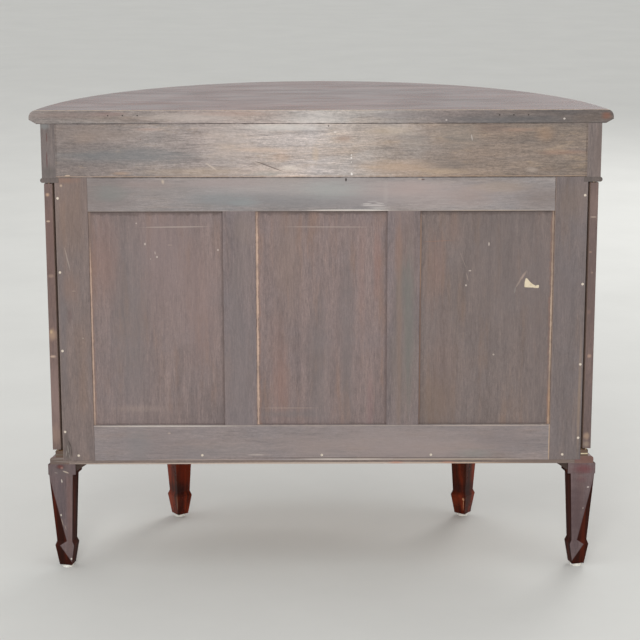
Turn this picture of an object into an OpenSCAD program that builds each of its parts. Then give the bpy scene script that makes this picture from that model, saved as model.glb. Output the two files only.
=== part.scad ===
// Demi lune sideboard, millimetres.
// X runs to the right seen from the front, the bowed front faces -Y and the flat back lies at +Y.
// The origin is on the floor, in the middle of the overall width and depth.

/* [Overall] */
// Width over the top board
overall_w = 1110; // [1040:5:1180]
// Depth over the top board, from the flat back to the middle of the bow
overall_d = 462; // [440:2:490]
// Height from the floor to the top surface
overall_h = 919; // [880:1:960]

/* [Top board] */
// Thickness of the top board
top_t = 26; // [22:1:32]
// How far the top stands past the frieze
top_overhang = 21.2; // [18:0.2:26]
// How far the top surface stops short of the widest edge
edge_run = 13.2; // [6:0.2:18]
// Height of the rounded upper part of the edge
edge_drop = 14; // [8:0.5:15]
// Height of the upright lip of the edge
edge_lip = 4; // [1:0.5:6]
// Run of the undercut below the lip
edge_under = 14; // [6:0.5:18]

/* [Frieze and waist] */
// Height of the frieze
frieze_h = 103.5; // [95:0.5:115]
// Thickness of the curved frieze sides
frieze_t = 26; // [20:1:30]
// Thickness of the frieze's back board
frieze_back_t = 20; // [15:1:24]
// Depth of the blocks at each end of the drawer opening
frieze_block_d = 42; // [36:1:48]
// Height of the rail over the drawer
top_rail_h = 12; // [8:1:16]
// Depth of the rail over the drawer
top_rail_w = 43; // [36:1:48]
// Thickness of the waist rail
waist_t = 9.5; // [8:0.5:12]
// Depth of the waist rail along its radius
waist_w = 34.6; // [30:0.2:40]
// How far the waist rail stands past the frieze
waist_out = 3.7; // [1:0.1:6]
// Thickness of the dust panel under the drawer
dust_t = 5; // [4:0.5:7]

/* [Base] */
// Height of the underside of the case
case_z = 217.5; // [190:0.5:240]
// Thickness of the base band
base_t = 14.5; // [12:0.5:18]
// Depth of the base band along its radius
base_w = 36.5; // [30:0.5:40]
// How far the base band stands past the doors
base_out = 6.2; // [1:0.1:9]
// Radius of the base band's upper edge
base_round = 5; // [2:0.5:8]
// Depth of the straight rail behind the base band
base_rail_d = 60; // [45:1:80]
// Thickness of the carcase bottom
bottom_t = 13; // [12:0.5:18]
// How far the carcase bottom lies inside the door faces
bottom_in = 4.8; // [3:0.1:5.4]

/* [Doors] */
// How far the door faces lie inside the frieze
door_in = 3.4; // [1:0.1:6]
// Thickness of the doors
door_t = 15; // [14:0.5:18]
// Gap between a door and a front post
door_side_gap = 1.5; // [1:0.1:2.5]
// Gap between the two centre doors
door_meet_gap = 2; // [1:0.1:4]
// Gap under the doors
door_bottom_gap = 3; // [2:0.1:4]
// Gap over the doors
door_top_gap = 1.5; // [1:0.1:3]
// Chamfer of the centre doors' hinge corners
door_corner = 4; // [3.8:0.1:6]

/* [Posts and partitions] */
// Angle of the front posts and front legs from the middle of the bow
post_angle = 35.5; // [33:0.5:38]
// Width of the front posts
post_w = 46; // [40:1:52]
// Depth of the front posts along the radius
post_d = 42; // [36:1:48]
// Width of the rear posts
rear_post_w = 46; // [36:1:56]
// Depth of the rear posts
rear_post_d = 40; // [30:1:50]
// Gap between the rear posts and the inside of the doors
rear_post_gap = 1.3; // [0.8:0.1:3]
// Thickness of the partitions
partition_t = 16; // [12:1:20]

/* [Shelves] */
// Thickness of the shelves
shelf_t = 14; // [10:1:20]
// Height of the shelves' undersides above the carcase bottom
shelf_up = 265; // [150:5:350]
// How far the centre shelf stops short of the front posts
shelf_set = 3; // [1:0.5:30]
// Gap between the side shelves and the doors
shelf_door_gap = 2.8; // [1:0.1:8]
// Gap round the shelves
shelf_gap = 1; // [0.5:0.1:3]
// Diameter of the shelf pins
shelf_pin_d = 6; // [5:0.5:8]
// How far a shelf pin stands out under a shelf
shelf_pin_out = 10; // [6:1:16]
// How deep a blind shelf pin goes into its post
shelf_pin_in = 9; // [6:1:12]
// Inset of the partitions' shelf pins from the front and rear
shelf_pin_set = 45; // [30:1:80]

/* [Back frame] */
// Gap between the front corners of the back frame and the side doors
frame_gap = 0.5; // [0.3:0.1:4]
// Thickness of the back frame
frame_t = 19; // [16:0.5:22]
// Height of the base rail that shows under the back frame
frame_lip = 7.5; // [5:0.5:10]
// Width of the stiles
stile_w = 62; // [50:1:75]
// Width of the top rail
rail_top_w = 65.5; // [50:0.5:80]
// Width of the bottom rail
rail_bottom_w = 72; // [60:1:90]
// Width of the muntins
muntin_w = 63; // [50:1:75]
// Distance of the muntins' middles from the middle of the back
muntin_x = 158.3; // [130:0.1:190]
// Thickness of the panels
panel_t = 6; // [4:0.5:8]
// How far the panels lie in from the face of the frame
panel_recess = 5.5; // [3:0.5:7]
// How far the panels go into the frame
panel_tongue = 6; // [3:0.5:10]

/* [Nails] */
// Diameter of the nail heads
nail_head_d = 5; // [4:0.5:7]
// Thickness of the nail heads
nail_head_t = 1; // [0.6:0.1:1.5]
// Diameter of the nails
nail_d = 2.4; // [2:0.1:3]
// Length of the nails
nail_len = 28; // [24:1:32]
// Distance of the side nails from the edge of the frame
nail_edge = 5.2; // [4:0.1:7]
// Height of the bottom nails above the lower edge of the frame
nail_up = 10.5; // [9:0.5:12]

/* [Legs] */
// How far the middle of a leg lies inside the door faces
leg_in = 16.5; // [14:0.5:19]
// How far the middle of a rear leg lies in front of the back plane
rear_leg_in = 17.1; // [12:0.1:22]
// Height of the block at the top of a leg
leg_block_h = 21.5; // [15:0.5:30]
// Depth of that block along the radius
leg_block_d = 52.8; // [48:0.2:56]
// Width of that block
leg_block_w = 51; // [48:0.5:54]
// Width of the leg under its block
leg_top_w = 45.4; // [40:0.2:48]
// How far the leg's upper end leans outwards
leg_lean = 2.3; // [0:0.1:3]
// Width of the leg at its ankle
ankle_w = 31; // [26:0.5:35]
// Height of the ankle
ankle_z = 57; // [52:1:70]
// Width of the spade foot
spade_w = 37.2; // [36:0.2:42]
// Height of the widest part of the spade foot
spade_z = 48; // [40:1:50]
// Width of the foot at its bottom
foot_w = 25; // [23:0.5:30]
// Diameter of the dowel at the top of a leg
leg_dowel_d = 12; // [10:0.5:13]
// Length of the dowel
leg_dowel_len = 23.5; // [18:0.5:25]
// How far forward of the leg's middle a rear leg's dowel lies
rear_dowel_shift = 14; // [13.5:0.5:16]
// Height of the triangular corner blocks
corner_h = 15; // [10:1:20]
// Width of the corner blocks
corner_w = 22; // [15:1:30]
// Depth of the corner blocks
corner_d = 30; // [20:1:36]
// How far the rear corner blocks lie in from the back plane
corner_set = 2; // [1:0.5:6]

/* [Glides] */
// Diameter of the glides
glide_d = 22; // [18:0.5:23]
// Thickness of the glides
glide_t = 6; // [4:0.5:8]
// Radius of the glides' upper edge
glide_round = 1.5; // [0.5:0.1:2]
// Diameter of the glides' nails
glide_nail_d = 3; // [2:0.5:4]
// Length of the glides' nails above the glide
glide_nail_len = 16; // [10:1:22]

/* [Hinges] */
// How far the pivots lie inside the door faces
pivot_in = 8; // [7.8:0.1:8.4]
// How far the side doors' pivots lie in front of the back plane
pivot_back = 5; // [4.5:0.1:6]
// Diameter of the pivot pins
pin_d = 4; // [3:0.1:4.2]
// Clearance round the pins, on the radius
pin_clear = 0.05; // [0.02:0.01:0.1]
// Width of the leaves in the doors
leaf_w = 8; // [7:0.5:9]
// Thickness of the leaves
leaf_t = 2; // [1.5:0.1:3]
// Length of the leaves from the pivot
leaf_len = 24; // [18:1:28]
// Width of the plates on the case
plate_w = 13.3; // [11:0.1:14]
// Thickness of the plates
plate_t = 2.5; // [2:0.1:3]
// Length of the plates from the pivot
plate_len = 20; // [14:1:20]
// Length of the plates behind the pivot
plate_tail = 6; // [5:0.5:6]
// Height of the lower plates above the base band
plate_up = 4; // [3:0.5:6]
// How far the upper plates stay inside the back plane
plate_back = 2; // [0.5:0.1:2.2]
// How far the pins go past the leaves
pin_past = 3; // [2:0.5:5]

/* [Catches and knobs] */
// Diameter of the ball catches
catch_d = 8; // [7:0.5:9]
// Depth of the ball catches
catch_h = 9; // [7:0.5:10]
// Gap between the balls and the doors
catch_gap = 0.8; // [0.4:0.1:1.2]
// How far the ball catches lie inside the edge of the carcase bottom
catch_in = 1.5; // [1:0.1:3]
// Distance of the knobs from the opening edges of the doors
knob_edge = 30; // [22:1:45]
// Height of the knobs above the carcase bottom
knob_up = 285; // [200:5:350]
// Diameter of the knobs
knob_d = 20; // [16:0.5:24]
// Diameter of the knobs' flanges
knob_flange_d = 15; // [13:0.5:18]
// Thickness of the knobs' flanges
knob_flange_t = 2; // [1.5:0.1:3]
// Diameter of the knobs' necks
knob_neck_d = 8; // [7:0.5:10]
// Length of the knobs from the door to the end
knob_len = 20; // [17:0.5:23]
// Diameter of the knobs' screws
knob_screw_d = 5; // [4:0.5:6]
// Length of the knobs' screws in the doors
knob_screw_len = 10; // [7:0.5:11]

/* [Drawer] */
// Gap round the drawer front
drawer_gap = 1.5; // [1:0.1:3]
// Thickness of the drawer front
drawer_front_t = 22; // [18:1:24]
// Gap between the drawer's sides and the frieze blocks
drawer_side_gap = 4.3; // [2:0.1:8]
// Thickness of the drawer's sides and back
drawer_side_t = 12; // [9:1:14]
// Gap behind the drawer
drawer_rear_gap = 31; // [26:1:60]
// Height of the runners above the dust panel
runner_h = 10.5; // [8:0.5:12]
// Width of the runners under the drawer sides
runner_w = 22; // [16:1:28]
// Thickness of the upright guides on the runners
guide_t = 7; // [5:0.5:9]
// Height of the upright guides above the runners
guide_up = 10; // [6:1:16]
// Gap between the guides and the drawer sides
guide_gap = 0.8; // [0.4:0.1:1.5]
// Gap between the drawer sides and the runners
ride_gap = 0.3; // [0.2:0.1:0.6]
// Gap between the drawer sides and the kickers
kick_gap = 2; // [1:0.5:4]
// Height of the kickers
kicker_h = 18; // [14:1:22]
// Width of the kickers
kicker_w = 20; // [14:1:26]
// Thickness of the drawer's bottom
drawer_bottom_t = 5; // [4:0.5:7]
// Height of the drawer's bottom above the lower edge of its sides
drawer_bottom_up = 5; // [4:0.5:8]
// How far the drawer's bottom goes into its sides and front
drawer_groove = 5; // [3:0.5:6]
// How far the drawer's back lies below the top of its sides
drawer_back_low = 4; // [2:0.5:8]

/* [Drawer pulls] */
// Angle of the pulls from the middle of the bow
pull_angle = 16; // [12:0.5:20]
// Width of the oval plates
pull_plate_w = 92; // [86:1:100]
// Height of the oval plates
pull_plate_h = 54; // [46:1:60]
// Thickness of the oval plates
pull_plate_t = 1.5; // [1:0.1:2]
// How far the bail's axis stands out from the drawer front
pull_out = 14; // [12:0.5:15]
// Height of the bail's axis above the middle of the drawer front
pull_up = 6.5; // [4:0.5:9]
// How far the middle of the plate lies below the bail's axis
pull_drop = 8; // [4:0.5:12]
// How far the posts' necks are let into the drawer front
pull_seat = 2; // [1:0.5:4]
// Distance of each post from the middle of its pull
pull_post_x = 24; // [20:0.5:26]
// Diameter and height of the posts' turned heads
pull_head_d = 11; // [9:0.5:12]
// Chamfer of those heads
pull_head_edge = 2.2; // [1:0.1:2.4]
// Diameter of the posts' necks
pull_neck_d = 7; // [6:0.5:8]
// Diameter of the posts' bolts
pull_bolt_d = 4; // [3:0.5:5]
// Diameter of the nuts on the bolts
pull_nut_d = 10; // [8:0.5:12]
// Thickness of the nuts
pull_nut_t = 4; // [3:0.5:5]
// Diameter of the bail's wire
bail_d = 5; // [4.5:0.1:6]
// Diameter of the bail's pins
bail_pin_d = 4; // [3:0.1:4.2]
// Gap between the bail and the heads of its posts
bail_gap = 1; // [0.6:0.1:2]

/* [Glue blocks] */
// Width and height of the glue blocks under the top
glue_s = 18; // [12:1:20]
// Length of the glue blocks
glue_len = 60; // [40:1:80]

/* [Hidden] */

// Colours
c_polish = "#5a2a1c";
c_bare = "#84706a";
c_inside = "#9a7b5c";
c_brass = "#b8934a";
c_steel = "#c9c6c0";
c_glide = "#ece7da";

// Facets of the large arcs and of the small round parts
fn_big = 180;
fn_small = 40;
// Overshoot of cutting shapes
eps = 1;
// Larger than the object in any direction
far = 4 * max(overall_w, overall_h);

// The plan is one circle, and its centre lies behind the flat back
top_r = (pow(overall_w / 2, 2) + pow(overall_d, 2)) / (2 * overall_d);
back_y = overall_d / 2;
arc_y = top_r - back_y;
arc_back = arc_y - back_y;

// Radii of the parts round that centre
frieze_r = top_r - top_overhang;
waist_r = frieze_r + waist_out;
door_r = frieze_r - door_in;
door_ri = door_r - door_t;
base_r = door_r + base_out;
bottom_r = door_r - bottom_in;
leg_r = door_r - leg_in;
pivot_r = door_r - pivot_in;
post_ri = door_r - post_d;
frieze_ri = frieze_r - frieze_t;
frieze_block_ri = frieze_r - frieze_block_d;
top_rail_ri = frieze_r - top_rail_w;
waist_ri = waist_r - waist_w;
base_ri = base_r - base_w;

// Heights
top_z = overall_h - top_t;
frieze_z = top_z - frieze_h;
waist_z = frieze_z - waist_t;
bottom_z = case_z + base_t;
floor_z = bottom_z + bottom_t;
door_z = floor_z + door_bottom_gap;
door_h = waist_z - door_top_gap - door_z;
frame_z = case_z + frame_lip;
frame_y = back_y - frame_t;
shelf_z = floor_z + shelf_up;
knob_z = floor_z + knob_up;

// Angles of the legs and pivots from the middle of the bow
rear_leg_angle = acos((arc_back + rear_leg_in) / leg_r);
side_pivot_angle = acos((arc_back + pivot_back) / pivot_r);
centre_pivot_angle = post_angle - asin((post_w / 2 + door_side_gap + pivot_in) / pivot_r);
centre_knob_angle = asin((door_meet_gap / 2 + knob_edge) / door_r);
side_knob_angle = post_angle + asin((post_w / 2 + door_side_gap + knob_edge) / door_r);

// Hinges
plate_edge = 0.5;
plate_ro = bottom_r - plate_edge;
// Room round a pin where it goes through wood
pin_room_gap = 0.4;
low_plate_z = bottom_z + plate_up;
pin_low_h = door_z + leaf_t + pin_past - low_plate_z;
pin_high_h = door_top_gap + leaf_t + pin_past;

// Partitions stand behind the front posts
partition_x = (post_ri + post_d / 2) * sin(post_angle);
partition_front_y = arc_y - post_ri * cos(post_angle);

// Rear posts
rear_post_r = door_ri - rear_post_gap;
rear_post_x = sqrt(pow(rear_post_r, 2) - pow(arc_y - frame_y, 2)) - rear_post_w;

// Back frame
panel_y = back_y - panel_recess - panel_t;
frame_h = frieze_z - frame_z;
frame_w = 2 * (sqrt(pow(door_ri, 2) - pow(arc_y - frame_y, 2)) - frame_gap);
panel_z = frame_z + rail_bottom_w;
panel_h = frame_h - rail_bottom_w - rail_top_w;
stile_x = frame_w / 2 - stile_w;
side_nail_x = frame_w / 2 - nail_edge;
// Heights of the side nails, on the left and on the right, as parts of the frame's height
side_nail_shares = [[0.079, 0.344, 0.628, 0.937], [0.105, 0.396, 0.673, 0.93]];
// Places of the bottom nails as parts of the half width
bottom_nail_shares = [-0.93, -0.422, 0, 0.462, 0.94];

// Drawer
drawer_z = frieze_z + drawer_gap;
drawer_h = frieze_h - top_rail_h - 2 * drawer_gap;
drawer_ri = frieze_r - drawer_front_t;
drawer_x = frieze_block_ri * sin(post_angle) - post_w / 2 * cos(post_angle) - drawer_side_gap;
runner_z = waist_z + dust_t;
runner_top = runner_z + runner_h;
drawer_side_z = runner_top + ride_gap;
kicker_z = top_z - kicker_h;
drawer_side_h = kicker_z - kick_gap - drawer_side_z;
drawer_rear_y = back_y - frieze_back_t - drawer_rear_gap;
drawer_bottom_z = drawer_side_z + drawer_bottom_up;

// Drawer pulls
pull_z = drawer_z + drawer_h / 2 + pull_up;
pull_r = frieze_r + pull_out;
bail_x = pull_post_x + pull_head_d / 2 + bail_gap + bail_d / 2;
// Room at the inner end of a bail's pin, and the steps round an oval plate
bail_end = 0.5;
oval_steps = 48;

// Draws its children as seen at an angle from the middle of the bow: outwards is -Y, along the arc is X
module at_angle(a) {
    translate([0, arc_y, 0]) rotate([0, 0, a]) children();
}

// Keeps what lies in front of the flat back
module cut_back(y = back_y) {
    intersection() {
        children();
        translate([-far / 2, y - far, -far / 2]) cube([far, far, far]);
    }
}

// A full disc about the plan's centre
module disc(r, z, h) {
    translate([0, arc_y, z]) cylinder(r = r, h = h, $fn = fn_big);
}

// A curved band about the plan's centre, cut off at the back
module band(r_in, r_out, z, h) {
    cut_back() difference() {
        disc(r_out, z, h);
        disc(r_in, z - eps, h + 2 * eps);
    }
}

// Everything past a line along the arc at an angle, to the right
module past(a, x) {
    at_angle(a) translate([x, -far / 2, -far / 2]) cube([far, far, far]);
}

// Everything short of that line, to the left
module before(a, x) {
    at_angle(a) translate([x - far, -far / 2, -far / 2]) cube([far, far, far]);
}

module box(x0, x1, y0, y1, z0, z1) {
    translate([x0, y0, z0]) cube([x1 - x0, y1 - y0, z1 - z0]);
}

module left() {
    mirror([1, 0, 0]) children();
}

module both() {
    children();
    left() children();
}

// Top board
module top_board() {
    r = top_r;
    color(c_polish) cut_back() translate([0, arc_y, top_z]) rotate_extrude($fn = fn_big) polygon([
        [0, 0],
        [r - edge_under, 0],
        [r, top_t - edge_drop - edge_lip],
        [r, top_t - edge_drop],
        for (a = [10:10:80]) [r - edge_run * (1 - cos(a)), top_t - edge_drop * (1 - sin(a))],
        [r - edge_run, top_t],
        [0, top_t]
    ]);
}

// Frieze
module frieze_back() {
    color(c_bare) intersection() {
        box(-far / 2, far / 2, back_y - frieze_back_t, back_y, frieze_z, top_z);
        disc(frieze_ri, frieze_z, frieze_h);
    }
}

module frieze_side() {
    color(c_polish) difference() {
        band(frieze_ri, frieze_r, frieze_z, frieze_h);
        before(post_angle, post_w / 2);
    }
}

module frieze_side_right() {
    frieze_side();
}

module frieze_side_left() {
    left() frieze_side();
}

module frieze_block() {
    intersection() {
        at_angle(post_angle) translate([-post_w / 2, -frieze_r - eps, frieze_z])
            cube([post_w, frieze_block_d + eps, frieze_h]);
        disc(frieze_r, frieze_z, frieze_h);
    }
}

module frieze_blocks() {
    color(c_polish) both() frieze_block();
}

module frieze_top_rail() {
    color(c_polish) difference() {
        band(top_rail_ri, frieze_r, top_z - top_rail_h, top_rail_h);
        past(post_angle, -post_w / 2);
        left() past(post_angle, -post_w / 2);
    }
}

// Waist rail with its rounded nose
module waist_ring() {
    nose = waist_t / 2;
    cut_back() translate([0, arc_y, waist_z]) rotate_extrude($fn = fn_big) {
        translate([waist_ri, 0]) square([waist_w - nose, waist_t]);
        translate([waist_r - nose, nose]) circle(r = nose, $fn = fn_small);
    }
}

module waist_rail() {
    color(c_polish) difference() {
        waist_ring();
        high_plates();
    }
}

module dust_panel() {
    color(c_inside) cut_back(frame_y) disc(waist_ri, waist_z, dust_t);
}

// Runners under the drawer and the guides beside it
module drawer_runner() {
    rear = back_y - frieze_back_t;
    intersection() {
        union() {
            box(drawer_x + guide_gap - runner_w, drawer_x + guide_gap + guide_t, -far / 2, rear,
                runner_z, runner_top);
            box(drawer_x + guide_gap, drawer_x + guide_gap + guide_t, -far / 2, rear,
                runner_z, runner_top + guide_up);
        }
        disc(top_rail_ri, 0, overall_h);
        at_angle(post_angle) translate([-far / 2, -frieze_block_ri, 0]) cube([far, far, far]);
    }
}

module drawer_runners() {
    color(c_inside) difference() {
        both() drawer_runner();
        box(-far / 2, far / 2, frame_y, back_y, 0, frieze_z);
    }
}

module drawer_kickers() {
    color(c_inside) both() intersection() {
        box(drawer_x - kicker_w, drawer_x, -far / 2, back_y - frieze_back_t, kicker_z, top_z);
        disc(top_rail_ri, kicker_z, kicker_h);
    }
}

// Base
module base_band() {
    r = base_r - base_round;
    color(c_polish) difference() {
        cut_back() translate([0, arc_y, case_z]) rotate_extrude($fn = fn_big) {
            translate([base_ri, 0]) square([base_w - base_round, base_t]);
            translate([r, 0]) square([base_round, base_t - base_round]);
            translate([r, base_t - base_round]) circle(r = base_round, $fn = fn_small);
        }
        frame_space();
        leg_dowels();
    }
}

module base_back_rail() {
    color(c_bare) difference() {
        intersection() {
            box(-far / 2, far / 2, back_y - base_rail_d, back_y, case_z, bottom_z);
            disc(base_ri, case_z, base_t);
        }
        frame_space();
    }
}

// Space that the back frame takes
module frame_space() {
    box(-frame_w / 2, frame_w / 2, frame_y, back_y + eps, frame_z, frieze_z);
}

module carcase_bottom() {
    color(c_inside) difference() {
        cut_back() disc(bottom_r, bottom_z, bottom_t);
        frame_space();
        leg_dowels();
        case_pivots() {
            low_plate();
            low_pin(pin_clear);
        }
        at_catches() catch_body(eps);
        bottom_nails();
    }
}

// Legs: a square section that follows one profile both ways
function leg_side(block, shaft, lean, s) = [
    [s * foot_w / 2, glide_t],
    [s * spade_w / 2, spade_z],
    [s * ankle_w / 2, ankle_z],
    [lean + s * shaft / 2, case_z - leg_block_h],
    [s * block / 2, case_z - leg_block_h],
    [s * block / 2, case_z]
];

function reversed(p) = [for (i = [len(p) - 1:-1:0]) p[i]];

module leg_profile(block, lean) {
    polygon(concat(leg_side(block, leg_top_w, lean, 1), reversed(leg_side(block, leg_top_w, lean, -1))));
}

// The rear legs' dowels lie further forward, clear of the back frame
module leg_dowel(a, shift) {
    at_angle(a) translate([-shift, -leg_r, case_z])
        cylinder(d = leg_dowel_d, h = leg_dowel_len, $fn = fn_small);
}

module leg_dowels() {
    both() {
        leg_dowel(post_angle, 0);
        leg_dowel(rear_leg_angle, rear_dowel_shift);
    }
}

module leg(a, shift) {
    color(c_polish) difference() {
        union() {
            cut_back() at_angle(a) translate([0, -leg_r, 0]) intersection() {
                rotate([90, 0, 0]) translate([0, 0, -leg_block_d])
                    linear_extrude(2 * leg_block_d) leg_profile(leg_block_w, 0);
                rotate([90, 0, -90]) translate([0, 0, -leg_block_w])
                    linear_extrude(2 * leg_block_w) leg_profile(leg_block_d, leg_lean);
            }
            leg_dowel(a, shift);
        }
        glide(a);
    }
}

module leg_front_right() {
    leg(post_angle, 0);
}

module leg_front_left() {
    left() leg(post_angle, 0);
}

module leg_rear_right() {
    leg(rear_leg_angle, rear_dowel_shift);
}

module leg_rear_left() {
    left() leg(rear_leg_angle, rear_dowel_shift);
}

module glide(a) {
    at_angle(a) translate([0, -leg_r, 0]) {
        rotate_extrude($fn = fn_small) {
            square([glide_d / 2, glide_t - glide_round]);
            square([glide_d / 2 - glide_round, glide_t]);
            translate([glide_d / 2 - glide_round, glide_t - glide_round])
                circle(r = glide_round, $fn = fn_small);
        }
        cylinder(d = glide_nail_d, h = glide_t + glide_nail_len, $fn = fn_small);
    }
}

module glides() {
    color(c_glide) both() {
        glide(post_angle);
        glide(rear_leg_angle);
    }
}

// Triangular blocks in the corners between the legs and the case
module corner_block(a, y_end) {
    r = leg_r - leg_block_d / 2;
    cut_back(y_end) at_angle(a) translate([-corner_d / 2, 0, 0]) rotate([90, 0, 90])
        linear_extrude(corner_d) polygon([[-r, case_z], [-r + corner_w, case_z], [-r, case_z - corner_h]]);
}

module corner_blocks() {
    rear = back_y - frieze_back_t;
    color(c_bare) {
        both() corner_block(rear_leg_angle, back_y - corner_set);
        both() for (x = [muntin_x, frame_w / 2 - 2 * glue_len])
            box(x - glue_len / 2, x + glue_len / 2, rear - glue_s, rear, top_z - glue_s, top_z);
    }
}

// Posts and partitions
module front_post() {
    color(c_polish) difference() {
        intersection() {
            at_angle(post_angle) translate([-post_w / 2, -door_r - eps, floor_z])
                cube([post_w, post_d + eps, waist_z - floor_z]);
            disc(door_r, floor_z, waist_z - floor_z);
        }
        shelf_pin_front();
    }
}

module front_post_right() {
    front_post();
}

module front_post_left() {
    left() front_post();
}

module rear_post_blank(gap = 0) {
    box(rear_post_x - gap, far / 2, frame_y - rear_post_d - gap, frame_y, floor_z, waist_z);
}

module rear_post() {
    difference() {
        intersection() {
            rear_post_blank();
            disc(rear_post_r, floor_z, waist_z - floor_z);
        }
        shelf_pin_rear();
    }
}

module rear_post_right() {
    color(c_inside) difference() {
        rear_post();
        side_nails();
    }
}

module rear_post_left() {
    color(c_inside) difference() {
        left() rear_post();
        side_nails();
    }
}

module partition() {
    color(c_inside) difference() {
        box(partition_x - partition_t / 2, partition_x + partition_t / 2, -far / 2, frame_y,
            floor_z, waist_z);
        at_angle(post_angle) translate([-far / 2, -far - post_ri, 0]) cube([far, far, far]);
        shelf_pin_through();
    }
}

module partition_right() {
    partition();
}

module partition_left() {
    left() partition();
}

// Shelves
module shelf_centre() {
    x = partition_x - partition_t / 2 - shelf_gap;
    color(c_inside) intersection() {
        box(-x, x, -far / 2, frame_y - shelf_gap, shelf_z, shelf_z + shelf_t);
        disc(post_ri - shelf_set, shelf_z, shelf_t);
    }
}

module side_shelf() {
    x = partition_x + partition_t / 2 + shelf_gap;
    difference() {
        intersection() {
            box(x, far / 2, -far / 2, frame_y - shelf_gap, shelf_z, shelf_z + shelf_t);
            disc(door_ri - shelf_door_gap, shelf_z, shelf_t);
        }
        rear_post_blank(shelf_gap);
        before(post_angle, post_w / 2 + shelf_gap);
    }
}

module side_shelves() {
    color(c_inside) both() side_shelf();
}

module shelf_pin_through() {
    reach = partition_t / 2 + shelf_pin_out;
    for (y = [partition_front_y + shelf_pin_set, frame_y - shelf_pin_set])
        translate([partition_x - reach, y, shelf_z - shelf_pin_d / 2]) rotate([0, 90, 0])
            cylinder(d = shelf_pin_d, h = 2 * reach, $fn = fn_small);
}

module shelf_pin_blind() {
    translate([0, 0, -shelf_pin_in])
        cylinder(d = shelf_pin_d, h = shelf_pin_in + shelf_pin_out, $fn = fn_small);
}

module shelf_pin_rear() {
    translate([rear_post_x + rear_post_w / 3, frame_y - rear_post_d, shelf_z - shelf_pin_d / 2])
        rotate([90, 0, 0]) shelf_pin_blind();
}

module shelf_pin_front() {
    at_angle(post_angle) translate([post_w / 2, -post_ri - post_d / 3, shelf_z - shelf_pin_d / 2])
        rotate([0, 90, 0]) shelf_pin_blind();
}

module shelf_pins() {
    color(c_brass) both() {
        shelf_pin_through();
        shelf_pin_rear();
        shelf_pin_front();
    }
}

// Back frame
module panel(x0, x1) {
    box(x0 - panel_tongue, x1 + panel_tongue, panel_y, panel_y + panel_t,
        panel_z - panel_tongue, panel_z + panel_h + panel_tongue);
}

module side_panel() {
    panel(muntin_x + muntin_w / 2, stile_x);
}

module centre_panel() {
    panel(-muntin_x + muntin_w / 2, muntin_x - muntin_w / 2);
}

module panels() {
    both() side_panel();
    centre_panel();
}

module back_stile() {
    difference() {
        box(stile_x, frame_w / 2, frame_y, back_y, frame_z, frieze_z);
        waist_ring();
        case_pivots() low_plate();
        panels();
    }
}

module back_stile_right() {
    color(c_bare) difference() {
        back_stile();
        side_nails();
        bottom_nails();
    }
}

module back_stile_left() {
    color(c_bare) difference() {
        left() back_stile();
        side_nails();
        bottom_nails();
    }
}

module back_top_rail() {
    color(c_bare) difference() {
        box(-stile_x, stile_x, frame_y, back_y, panel_z + panel_h, frieze_z);
        panels();
    }
}

module back_bottom_rail() {
    color(c_bare) difference() {
        box(-stile_x, stile_x, frame_y, back_y, frame_z, panel_z);
        panels();
        bottom_nails();
    }
}

module back_muntins() {
    color(c_bare) difference() {
        both() box(muntin_x - muntin_w / 2, muntin_x + muntin_w / 2, frame_y, back_y,
            panel_z, panel_z + panel_h);
        panels();
    }
}

module back_panel_right() {
    color(c_bare) side_panel();
}

module back_panel_left() {
    color(c_bare) left() side_panel();
}

module back_panel_centre() {
    color(c_bare) centre_panel();
}

module nail(x, z) {
    translate([x, back_y, z]) rotate([90, 0, 0]) {
        cylinder(d = nail_head_d, h = nail_head_t, $fn = fn_small);
        cylinder(d = nail_d, h = nail_len, $fn = fn_small);
    }
}

module side_nails() {
    for (side = [0, 1], share = side_nail_shares[side])
        nail((2 * side - 1) * side_nail_x, frame_z + share * frame_h);
}

module bottom_nails() {
    for (share = bottom_nail_shares) nail(share * frame_w / 2, frame_z + nail_up);
}

module back_nails() {
    color(c_steel) {
        side_nails();
        bottom_nails();
    }
}

// Hinges: each door turns on a pin below and a pin above
module pivot(a) {
    at_angle(a) translate([0, -pivot_r, 0]) children();
}

module case_pivots() {
    both() {
        pivot(side_pivot_angle) children();
        pivot(centre_pivot_angle) children();
    }
}

module plate(z) {
    translate([-plate_len, pivot_r - plate_ro, z]) cube([plate_len + plate_tail, plate_w, plate_t]);
}

module low_plate() {
    plate(low_plate_z);
}

module high_plates() {
    cut_back(back_y - plate_back) case_pivots() plate(waist_z);
}

module low_pin(gap = 0) {
    translate([0, 0, low_plate_z]) cylinder(r = pin_d / 2 + gap, h = pin_low_h, $fn = fn_small);
}

module high_pin(gap = 0) {
    translate([0, 0, waist_z - pin_high_h]) cylinder(r = pin_d / 2 + gap, h = pin_high_h, $fn = fn_small);
}

module hinge_plates() {
    color(c_brass) {
        cut_back() case_pivots() {
            low_plate();
            low_pin();
            high_pin();
        }
        high_plates();
    }
}

module leaf(z) {
    difference() {
        translate([0, 0, z]) union() {
            cylinder(d = leaf_w, h = leaf_t, $fn = fn_small);
            translate([-leaf_len, -leaf_w / 2, 0]) cube([leaf_len, leaf_w, leaf_t]);
        }
        low_pin(pin_clear);
        high_pin(pin_clear);
    }
}

module leaves(a) {
    color(c_brass) pivot(a) {
        leaf(door_z);
        leaf(door_z + door_h - leaf_t);
    }
}

// Room in a door for its leaves and the ends of the pins
module leaf_room(a) {
    pivot(a) {
        for (z = [door_z, door_z + door_h - leaf_t]) translate([0, 0, z]) {
            cylinder(d = leaf_w, h = leaf_t, $fn = fn_small);
            translate([-leaf_len, -leaf_w / 2, 0]) cube([leaf_len, leaf_w, leaf_t]);
        }
        translate([0, 0, door_z]) pin_room();
        translate([0, 0, door_z + door_h - leaf_t - pin_past - pin_room_gap]) pin_room();
    }
}

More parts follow.
